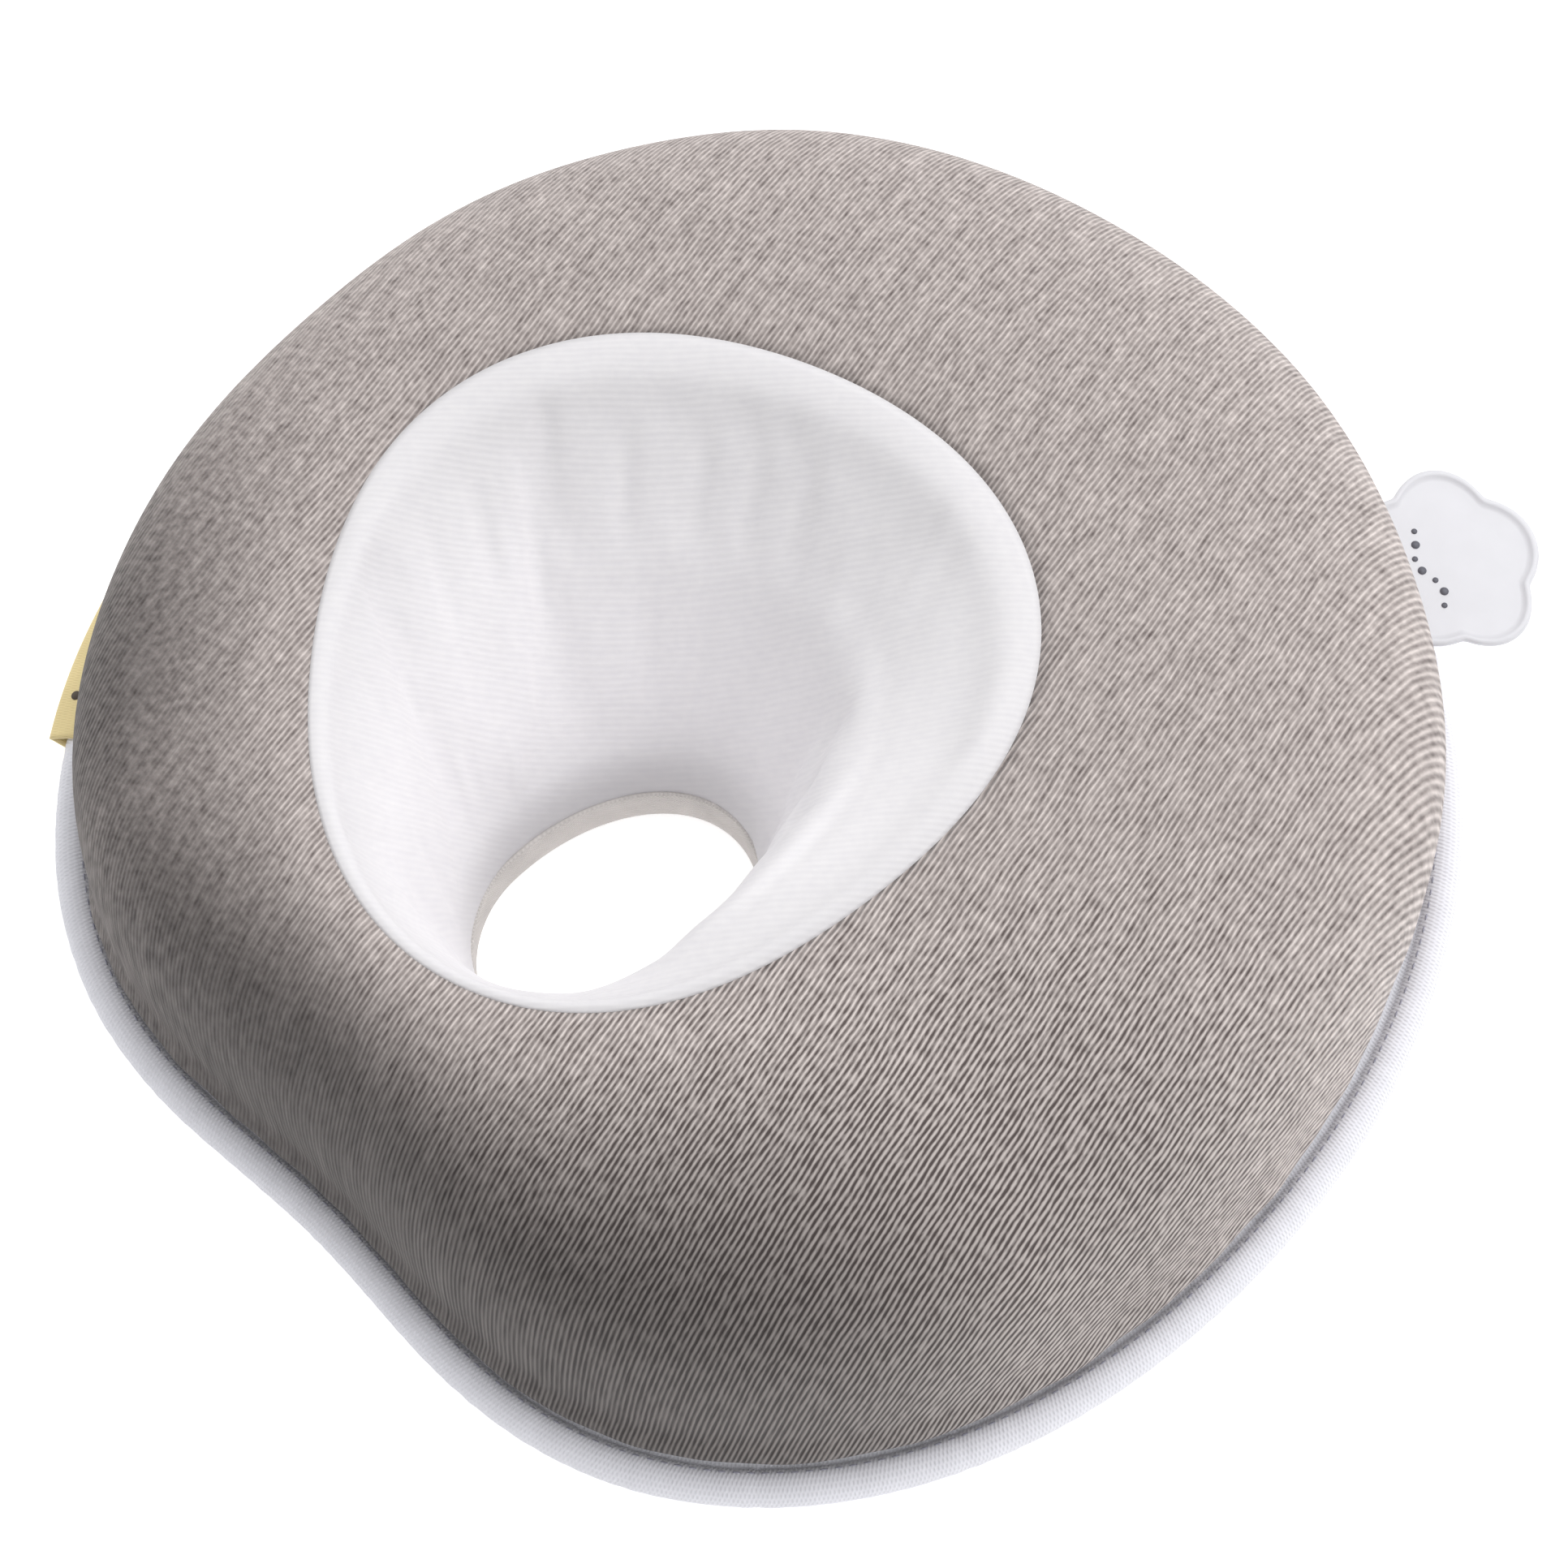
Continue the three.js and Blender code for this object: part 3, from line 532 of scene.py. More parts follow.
def knit(name, light, dark, pitch, depth, contrast, streaks, sockets):
    """Weft knit with raised ribs; pitch and depth are real sizes in metres."""
    material, tree, shader = surface(name, sockets)
    weave = node(tree, "UVMap", uv_map="weave").outputs[0]
    # a slow sideways wander keeps the ribs from being ruled lines
    wander = node(tree, "TexNoise", {"Vector": weave, "Scale": 1 / (14 * MM), "Detail": 1.0})
    centred = node(
        tree, "VectorMath", {0: wander.outputs["Color"], 1: (0.5, 0.5, 0.5)}, operation="SUBTRACT"
    ).outputs[0]
    shifted = node(
        tree, "VectorMath", {0: centred, 1: (1.2 * pitch, 0, 0), 2: weave}, operation="MULTIPLY_ADD"
    ).outputs[0]
    across = node(tree, "SeparateXYZ", {0: shifted}).outputs[0]
    phase = node(tree, "Math", {0: across, 1: FULL_TURN / pitch}, operation="MULTIPLY").outputs[0]
    wave = node(tree, "Math", {0: phase}, operation="SINE").outputs[0]
    rib = node(tree, "Math", {0: wave, 1: 0.5, 2: 0.5}, operation="MULTIPLY_ADD").outputs[0]
    # single stitches: short dashes about one rib wide and two ribs long
    dash_size = (1 / (0.75 * pitch), 1 / (2.3 * pitch), 1)
    dash_place = node(tree, "Mapping", {"Vector": shifted, "Scale": dash_size}).outputs[0]
    dash = node(tree, "TexNoise", {"Vector": dash_place, "Scale": 1.0, "Detail": 2.0}).outputs["Fac"]
    # melange yarn: pale and dark lengths of fibre that run along the ribs
    streak_size = (1 / (1.8 * MM), 1 / (9 * MM), 1)
    streak_place = node(tree, "Mapping", {"Vector": weave, "Scale": streak_size}).outputs[0]
    streak = node(tree, "TexNoise", {"Vector": streak_place, "Scale": 1.0, "Detail": 3.0}).outputs["Fac"]
    # the ribs open where the fabric is stretched, and close where it lies slack
    clear = node(tree, "Attribute", attribute_name="clarity").outputs["Fac"]
    slack = node(tree, "MapRange", {0: clear, 1: 0.1, 2: 0.9, 3: 1.0, 4: 0.15}).outputs[0]
    # where they close, short fibres lie every way and the knit looks felted
    felt_size = 1.6 * pitch
    felt = node(tree, "TexNoise", {"Vector": weave, "Scale": 1 / felt_size, "Detail": 3.0}).outputs["Fac"]
    felted = node(
        tree, "MapRange", {0: felt, 1: 0.3, 2: 0.7, 3: -2.5 * streaks, 4: 2.5 * streaks}
    ).outputs[0]
    ribbed = node(tree, "Math", {0: rib, 1: contrast, 2: -contrast / 2}, operation="MULTIPLY_ADD").outputs[0]
    dashed = node(
        tree, "MapRange", {0: dash, 1: 0.3, 2: 0.7, 3: -contrast * 0.3, 4: contrast * 0.3}
    ).outputs[0]
    stitched = node(tree, "Math", {0: ribbed, 1: dashed}, operation="ADD").outputs[0]
    streaked = node(
        tree, "MapRange", {0: streak, 1: 0.3, 2: 0.7, 3: 0.5 - streaks, 4: 0.5 + streaks}
    ).outputs[0]
    blurred = node(tree, "Math", {0: felted, 1: slack, 2: streaked}, operation="MULTIPLY_ADD").outputs[0]
    share = node(
        tree, "Math", {0: stitched, 1: clear, 2: blurred}, operation="MULTIPLY_ADD", use_clamp=True
    ).outputs[0]
    mixed = node(tree, "Mix", {0: share, 6: dark, 7: light}, data_type="RGBA").outputs[2]
    # the shade mark scales the colour: painted shade on the grey side walls and along the seam, painted
    # shade and light in the dish
    shade = node(tree, "Attribute", attribute_name="shade").outputs["Fac"]
    toned = node(tree, "VectorMath", {0: mixed, "Scale": shade}, operation="SCALE").outputs[0]
    height = node(tree, "Math", {0: dash, 1: 0.4, 2: rib}, operation="MULTIPLY_ADD").outputs[0]
    finish_surface(tree, shader, toned, height, 1.0, depth)
    return material


def woven(name, tone, shade, thread, depth, sockets, stretch=1.0):
    """Plain weave: two crossing sets of threads, thread is their real spacing in metres."""
    material, tree, shader = surface(name, sockets)
    weave = node(tree, "UVMap", uv_map="weave").outputs[0]
    thread_size = (FULL_TURN / thread, FULL_TURN / thread / stretch, 1)
    placed = node(tree, "Mapping", {"Vector": weave, "Scale": thread_size})
    split = node(tree, "SeparateXYZ", {0: placed.outputs[0]})
    warp = node(tree, "Math", {0: split.outputs[0]}, operation="SINE").outputs[0]
    weft = node(tree, "Math", {0: split.outputs[1]}, operation="SINE").outputs[0]
    cross = node(tree, "Math", {0: warp, 1: weft}, operation="MULTIPLY").outputs[0]
    # soft shading where the cloth was pulled unevenly while it was sewn
    pull = node(tree, "TexNoise", {"Vector": weave, "Scale": 1 / (6 * MM), "Detail": 3.0}).outputs["Fac"]
    share = node(
        tree, "Math", {0: cross, 1: 0.22, 2: pull}, operation="MULTIPLY_ADD", use_clamp=True
    ).outputs[0]
    mixed = node(tree, "Mix", {0: share, 6: shade, 7: tone}, data_type="RGBA").outputs[2]
    height = node(tree, "Math", {0: pull, 1: 1.5, 2: cross}, operation="MULTIPLY_ADD").outputs[0]
    finish_surface(tree, shader, mixed, height, 0.8, depth)
    return material


def grained(name, tone, shade, grain, depth, sockets):
    """A moulded surface with a fine grain, read from the object's own place."""
    material, tree, shader = surface(name, sockets)
    place = node(tree, "TexCoord").outputs["Object"]
    speck = node(tree, "TexNoise", {"Vector": place, "Scale": 1 / grain, "Detail": 3.0}).outputs["Fac"]
    mixed = node(tree, "Mix", {0: speck, 6: shade, 7: tone}, data_type="RGBA").outputs[2]
    finish_surface(tree, shader, mixed, speck, 0.5, depth)
    return material


def darker(tone, share):
    return (*(part * share for part in tone[:3]), 1.0)


# ---- Pieces ------------------------------------------------------------------
class TopPanelOperator(bpy.types.Operator):
    """Grey ribbed knit, from the piping over the crown to the dish seam"""

    bl_idname = "pillow.top_panel"
    bl_label = "Grey top panel"

    def execute(self, context):
        s, t = sizes(), tones()
        angle = angles(ROUND)
        points = swollen(crown(ROUND, CROWN_ROWS), "crown")
        points = points + normals(points) * self.relief(angle)[..., None]
        # the raw edge turns in under the side, on top of the piping's flange
        tuck = level(beside(outline, angle, -SEAM_INSET - 2.2 * MM), SEAM_HEIGHT + 0.12 * MM)
        points = np.concatenate([tuck, points])
        bm = grid_bmesh(points, self.weave(angle, points), marks=self.marks(angle))
        turn_faces(bm, lambda face: Vector((0, 0, 1)))
        # polyester and viscose melange, weft knitted in a rib: matt, hairy, dark between the ribs
        material = knit(
            "Grey melange rib knit",
            t.grey_light,
            t.grey_dark,
            pitch=s.rib,
            depth=0.2 * MM,
            contrast=0.62,
            streaks=0.12,
            sockets={
                "Roughness": 0.95,
                "Sheen Weight": 0.12,
                "Sheen Roughness": 0.6,
                "Specular IOR Level": 0.2,
            },
        )
        piece = finish_piece(bm, "cover_top_panel", material, replaced=["top_panel"])
        thicken(piece, s.fabric)
        return {"FINISHED"}

    def relief(self, angle):
        """How far the fabric stands off the plain crown."""
        row = np.arange(CROWN_ROWS + 1)[:, None]
        # gathers where the fabric is eased into the piping, fading up the side
        gather = 0.2 * MM * waves(angle, 28, 70, 9, 3) * near(row, 3.0, 5.0)
        # the side bellies out over the piping's seam, but not where the label and the tag are sewn in
        belly = 1.8 - 2.6 * near(angle, LABEL_ANGLE, radians(16)) - 1.6 * near(angle, TAG_ANGLE, radians(15))
        belly = (belly - 2.2 * near(angle, radians(52), radians(36))) * MM * near(row, 2.6, 1.9)
        drift = 0.5 * MM * waves(angle, 4, 13, 6, 5) * np.sin(math.pi * row / CROWN_ROWS)
        # the seam at the dish pulls the last few millimetres down
        ditch = -0.55 * MM * near(row, CROWN_ROWS, 1.3)
        lift = gather + belly + drift + ditch
        lift[0] *= 0
        return lift

    def weave(self, angle, points):
        """Parallel ribs, drawn square to the piping's seam on the head side of +X."""
        edge, outer = dish_edge(angle), beside(outline, angle, -SEAM_INSET)
        outward = outer - edge
        outward = outward / np.linalg.norm(outward, axis=-1, keepdims=True)
        aligned = outward @ np.array([math.sin(RIB_DIRECTION), -math.cos(RIB_DIRECTION)])
        drawn = 0.75 * near(angle, radians(48), radians(26))
        # the pull grows over the last 24 mm before the seam
        pulled = 24 * MM
        reach = np.linalg.norm(outer - points[..., :2], axis=-1)
        held_back = drawn * np.clip(pulled - reach, 0, None) ** 2 / (2 * pulled)
        laid = points.copy()
        laid[..., :2] -= outward * held_back[..., None]
        share = 0.04 + 0.3 * np.clip(aligned, 0, 1) ** 4 * (1 - drawn)
        return unrolled(laid[::-1], edge, outer, RIB_DIRECTION, share)[::-1]

    def marks(self, angle):
        """Painted shade on the sides that face away from the light, most towards the neck, and along the
        seam; the ribs of the sides open on the +X side.
        """
        up = np.clip((np.arange(CROWN_ROWS + 2) - 1) / CROWN_ROWS, 0, 1)[:, None]
        wall = 1 - np.clip((up - 0.5) / 0.42, 0, 1) ** 1.5
        # painted shade: the side walls darken where they face away from the key light, most towards the neck
        # and on both sides beside it
        dark = 0.77 * near(angle, radians(170), radians(58), 4)
        dark = np.maximum(dark, 0.7 * near(angle, radians(226), radians(28)))
        dark = np.maximum(dark, 0.28 * near(angle, radians(108), radians(24)))
        # painted shade along the seam: the tuck and the first row are darkened as the crease's shade
        crease = 0.25 * near(up, 0, 0.03)
        clarity = 0.7 + 1.5 * near(angle, radians(124), radians(40)) * (0.35 + 0.65 * wall)
        clarity = clarity - 0.64 * near(angle, radians(225), radians(48)) * wall
        return {"shade": (1 - dark * wall) * (1 - crease), "clarity": clarity}


class DishOperator(bpy.types.Operator):
    """White knit dish, with a soft lip, down to the hole"""

    bl_idname = "pillow.dish"
    bl_label = "White dish"

    def execute(self, context):
        s, t = sizes(), tones()
        angle = angles(ROUND)
        points = swollen(bowl(ROUND, BOWL_ROWS), "bowl")
        facing = normals(points)
        row = np.arange(BOWL_ROWS + 1)[:, None]
        level_share = row / BOWL_ROWS
        ditch = -0.55 * MM * near(row, 0, 1.3)
        # the lip stands a little proud between the seam and the roll into the dish
        lip = 0.45 * MM * near(row, 4.5, 2.6)
        drift = 0.3 * MM * waves(angle, 3, 9, 5, 11) * np.sin(math.pi * row / BOWL_ROWS)
        # fine gathers just above the hole, where the knit is pulled tight
        gather = 0.16 * MM * np.sin(FULL_TURN * level_share * 34) * near(level_share, 0.86, 0.09)
        far_side = 0.5 + 0.5 * np.cos(angle - radians(316))
        lift = ditch + lip + drift + gather * far_side
        lift[-1] *= 0
        points = points + facing * lift[..., None]
        ribs_laid = np.full(ROUND, 0.6)
        weave = unrolled(points, dish_edge(angle), hole_edge(angle), WHITE_RIB_DIRECTION, ribs_laid)
        # painted shade and light: the lip is dimmed a little, the middle of the bowl is painted lighter, and
        # painted shade greys the deep far side just above the hole
        sunk = near(level_share, 0.95, 0.12) * far_side
        shade = 0.9 + 0.15 * (1 - near(level_share, 0, 0.35)) - 0.34 * sunk
        bm = grid_bmesh(points, weave, marks={"shade": shade, "clarity": np.full(shade.shape, 0.3)})
        turn_faces(bm, lambda face: Vector((0, 0, 1)))
        # brushed white polyester knit: fine ribs that only show where light grazes them
        material = knit(
            "White polyester knit",
            t.white,
            t.white_shade,
            pitch=s.white_rib,
            depth=0.025 * MM,
            contrast=0.35,
            streaks=0.04,
            sockets={
                "Roughness": 0.92,
                "Sheen Weight": 0.15,
                "Sheen Roughness": 0.5,
                "Specular IOR Level": 0.25,
            },
        )
        piece = finish_piece(bm, "cover_dish_panel", material, replaced=["dish_panel"])
        thicken(piece, s.fabric)
        return {"FINISHED"}


class HoleBandOperator(bpy.types.Operator):
    """Bound edge round the hole"""

    bl_idname = "pillow.hole_band"
    bl_label = "Hole band"

    def execute(self, context):
        angle = angles(ROUND)
        top = sizes().band
        # a folded band, a little full between its two turned edges
        section = [(0.9, 0.0), (0.35, 0.02), (0.05, 0.09), (-0.1, 0.3), (-0.15, 0.5), (-0.1, 0.75)]
        section += [(0.05, 0.93), (0.2, 1.0), (0.95, 1.0), (0.98, 0.5), (0.9, 0.0)]
        rings = [level(beside(hole_edge, angle, x * MM), z * top) for x, z in section]
        points = np.concatenate(rings)
        around = np.linspace(0, 1, ROUND + 1) * HOLE_LENGTH
        up = np.array([z * top + x * 0.2 * MM for x, z in section])
        weave = np.stack(np.broadcast_arrays(around[None], up[:, None]), -1)
        bm = grid_bmesh(points, weave)
        bmesh.ops.recalc_face_normals(bm, faces=bm.faces)
        # twill binding tape, woven and bias cut: a faint cross of fine threads
        material = woven(
            "Greige cotton binding",
            tones().band,
            darker(tones().band, 0.72),
            thread=0.8 * MM,
            depth=0.08 * MM,
            sockets={"Roughness": 0.9, "Sheen Weight": 0.1, "Specular IOR Level": 0.25},
        )
        finish_piece(bm, "hole_binding", material, replaced=["hole_band"])
        return {"FINISHED"}


class FoamOperator(bpy.types.Operator):
    """Moulded foam ring inside the cover"""

    bl_idname = "pillow.foam"
    bl_label = "Foam core"

    def execute(self, context):
        columns = 180
        angle = angles(columns)
        depth = sizes().fabric + 0.5 * MM
        skin = np.concatenate([crown(columns, 18), bowl(columns, 20)[1:]])
        sunk = skin - normals(skin) * depth
        sunk[0, :, 2], sunk[-1, :, 2] = SEAM_HEIGHT, DISH_EDGE_HEIGHT
        rings = [
            sunk,
            level(beside(hole_edge, angle, 2 * MM), 3.2 * MM),
            base_ring(columns, 40 * MM, 5.2 * MM),
            base_ring(columns, BASE_RIM, 5.2 * MM),
            base_ring(columns, 8.6 * MM, 5.4 * MM),
        ]
        rings = np.concatenate(rings)
        bm = grid_bmesh(np.concatenate([rings, rings[:1]]))
        bmesh.ops.recalc_face_normals(bm, faces=bm.faces)
        # polyurethane foam moulded in one piece: pale cream, open cells under a thin skin
        material = grained(
            "Moulded polyurethane foam",
            tones().foam,
            darker(tones().foam, 0.8),
            grain=0.9 * MM,
            depth=0.3 * MM,
            sockets={"Roughness": 1.0, "Specular IOR Level": 0.1},
        )
        piece = finish_piece(bm, "foam_ring", material, replaced=["foam_core"])
        return {"FINISHED"}


def piping_section():
    """Closed section of the piping: the roll, a crease, and the flange in the seam."""
    radius = sizes().piping / 2
    turn = np.radians(np.linspace(157, -157, 27))
    roll = [(radius * math.cos(a), radius * math.sin(a)) for a in turn]
    low = [(-3.5, -0.8), (-4.4, -1.0), (-7.3, -1.0), (-7.3, -0.15)]
    high = [(-7.3, 0.15), (-7.3, 1.0), (-5.2, 1.12), (-4.3, 1.14), (-3.75, 0.98), (-3.4, 0.62)]
    flange = [(x * MM, z * MM) for x, z in low + high]
    return np.array(roll + flange + roll[:1])


class PipingOperator(bpy.types.Operator):
    """Piped edge: cloth over a filler cord, with its row of stitches"""

    bl_idname = "pillow.piping"
    bl_label = "Piping"

    def execute(self, context):
        self.cover()
        self.filler()
        self.stitches()
        return {"FINISHED"}

    def cover(self):
        columns = 960
        angle = angles(columns)
        section = piping_section()
        # cloth puckers a little on the roll, and sinks at each stitch beside it
        pucker = 1 + 0.018 * waves(angle, 90, 260, 10, 21) + 0.012 * waves(angle, 12, 40, 6, 22)
        count = self.stitch_count()
        tight = near(np.sin(angle * count / 2), 0, 0.42)
        rings = []
        for x, z in section:
            near_crease = math.exp(-(((x + 3.0 * MM) ** 2 + (z - 1.3 * MM) ** 2) / (0.9 * MM) ** 2))
            on_roll = x > -3.05 * MM
            grow = pucker if on_roll else np.ones_like(angle)
            drop = 0.35 * MM * near_crease * tight
            rings.append(level(beside(outline, angle, x * grow), PIPING_HEIGHT + z * grow - drop))
        points = np.concatenate(rings)
        around = np.linspace(0, 1, columns + 1) * PIPING_LENGTH
        steps = np.r_[0, np.cumsum(np.linalg.norm(np.diff(section, axis=0), axis=1))]
        weave = np.stack(np.broadcast_arrays(around[None], steps[:, None]), -1)
        bm = grid_bmesh(points, weave)
        bmesh.ops.recalc_face_normals(bm, faces=bm.faces)
        # bias-cut polyester sateen, drawn round a cord: fine threads and short cross puckers
        material = woven(
            "White polyester sateen",
            tones().piping,
            darker(tones().piping, 0.87),
            thread=0.7 * MM,
            depth=0.10 * MM,
            sockets={"Roughness": 0.8, "Sheen Weight": 0.2, "Specular IOR Level": 0.35},
            stretch=3.0,
        )
        finish_piece(bm, "piping_sleeve", material, replaced=["piping_cover"])

    def filler(self):
        columns = 360
        angle = angles(columns)
        # the cord's strands wind round it, one turn each 8 millimetres
        twist = angle * STRAND_TURNS
        rings = []
        for a in np.radians(np.arange(0, 361, 30)):
            strand = CORD_RADIUS * (1 - 0.05 * np.cos(3 * a + twist))
            plan = beside(outline, angle, strand * math.cos(a))
            rings.append(level(plan, PIPING_HEIGHT + strand * math.sin(a)))
        bm = grid_bmesh(np.concatenate(rings))
        bmesh.ops.recalc_face_normals(bm, faces=bm.faces)
        # twisted cotton filler cord: matt and fibrous
        material = grained(
            "Twisted cotton cord",
            linear("#EFEBE0"),
            linear("#CFC9BB"),
            grain=0.6 * MM,
            depth=0.15 * MM,
            sockets={"Roughness": 1.0, "Specular IOR Level": 0.1},
        )
        finish_piece(bm, "piping_filler", material, replaced=["piping_cord"])

    def stitch_count(self):
        return round(PIPING_LENGTH / sizes().stitch)

    def stitches(self):
        bm = bmesh.new()
        count = self.stitch_count()
        half = 0.30 * sizes().stitch
        for number in range(count):
            angle = np.array([FULL_TURN * (number + 0.5) / count])
            at = beside(outline, angle, -STITCH_INSET)[0]
            ahead = beside(outline, angle + 0.01, -STITCH_INSET)[0] - at
            turn = Matrix.Rotation(math.atan2(ahead[1], ahead[0]), 4, "Z")
            place = Matrix.Translation((*at, PIPING_HEIGHT + STITCH_RISE)) @ turn
            add_stitch(bm, place, (half, 0.2 * MM, 0.16 * MM))
        # spun polyester thread: two plies, slightly shiny, coloured grey as painted shade of the dimples it
        # sits in
        material = grained(
            "Spun polyester thread",
            tones().thread,
            darker(tones().thread, 0.7),
            grain=0.25 * MM,
            depth=0.05 * MM,
            sockets={"Roughness": 0.6, "Specular IOR Level": 0.4},
        )
        finish_piece(bm, "piping_stitches", material)


class BaseOperator(bpy.types.Operator):
    """The two halves of the flat mesh base, with hems along the zip"""

    bl_idname = "pillow.base"
    bl_label = "Base panels"

    def execute(self, context):
        # warp-knitted spacer mesh: white, with small round holes in a diagonal grid
        material = self.mesh_fabric()
        for side, place in ((1, "head"), (-1, "neck")):
            bm = self.half(side)
            name = f"base_{place}_panel"
            piece = finish_piece(bm, name, material, replaced=[f"base_panel_{place}"])
            self.hem(side, place, material)
        return {"FINISHED"}

    def mesh_fabric(self):
        t = tones()
        material, tree, shader = surface(
            "White spacer mesh", {"Roughness": 0.9, "Sheen Weight": 0.1, "Specular IOR Level": 0.25}
        )
        place = node(tree, "TexCoord").outputs["Object"]
        # round holes on a grid turned by 45 degrees
        spacing = [FULL_TURN / MESH_HOLE_PITCH] * 3
        turned = node(tree, "Mapping", {"Vector": place, "Rotation": (0, 0, radians(45)), "Scale": spacing})
        split = node(tree, "SeparateXYZ", {0: turned.outputs[0]})
        one = node(tree, "Math", {0: split.outputs[0]}, operation="COSINE").outputs[0]
        two = node(tree, "Math", {0: split.outputs[1]}, operation="COSINE").outputs[0]
        both = node(tree, "Math", {0: one, 1: two}, operation="ADD").outputs[0]
        hole = node(tree, "MapRange", {0: both, 1: 1.0, 2: 1.5, 3: 0.0, 4: 1.0}).outputs[0]
        mixed = node(tree, "Mix", {0: hole, 6: t.base, 7: darker(t.base, 0.45)}, data_type="RGBA").outputs[2]
        finish_surface(tree, shader, mixed, hole, 0.9, -0.3 * MM)
        return material

    def half(self, side):
        angle = angles(ROUND)
        fabric = sizes().fabric
        inner = beside(hole_edge, angle, 1.4 * MM)
        outer = beside(outline, angle, -BASE_RIM)
        shares = np.linspace(0, 1, 13)[:, None, None]
        under = [solid_points(inner + (outer - inner) * shares, 0.02 * MM)]
        for inset, height in ((12, 0.15), (8.5, 0.7), (6.2, 1.3), (4.6, 2.0)):
            under.append(base_ring(ROUND, inset * MM, height * MM))
        points = np.concatenate(under)
        bm = grid_bmesh(points)
        turn_faces(bm, lambda face: Vector((0, 0, -1)))
        edge = ZIP_Y + side * (ZIP_GAP / 2 + 0.3 * MM)
        geometry = [*bm.verts, *bm.edges, *bm.faces]
        bmesh.ops.bisect_plane(
            bm, geom=geometry, plane_co=(0, edge, 0), plane_no=(0, -side, 0), clear_outer=True
        )
        # gives the mesh its thickness upwards
        bmesh.ops.solidify(bm, geom=bm.faces[:], thickness=fabric)
        return bm

    def hem(self, side, place, material):
        edge = ZIP_Y + side * ZIP_GAP / 2
        low, high = sorted((edge, edge + side * HEM_WIDTH))
        half = BASE_BOX[1].x - 14 * MM
        bm = bmesh.new()
        add_rounded_block(bm, (-half, low, 1.1 * MM), (half, high, 2.8 * MM), 0.6 * MM, 3)
        finish_piece(bm, f"base_{place}_hem", material)
        thread = bmesh.new()
        for line in (1.8, 6.4):
            for number in range(60):
                at = (-half + (number + 0.5) * half / 30, edge + side * line * MM, 0.0)
                add_stitch(thread, Matrix.Translation(at), (1.2 * MM, 0.25 * MM, 0.18 * MM))
        bmesh.ops.translate(thread, verts=thread.verts, vec=(0, 0, 0.2 * MM))
        # the same thread, whose grey is painted shade
        stitched = bpy.data.materials["Spun polyester thread"]
        finish_piece(thread, f"base_{place}_stitches", stitched)


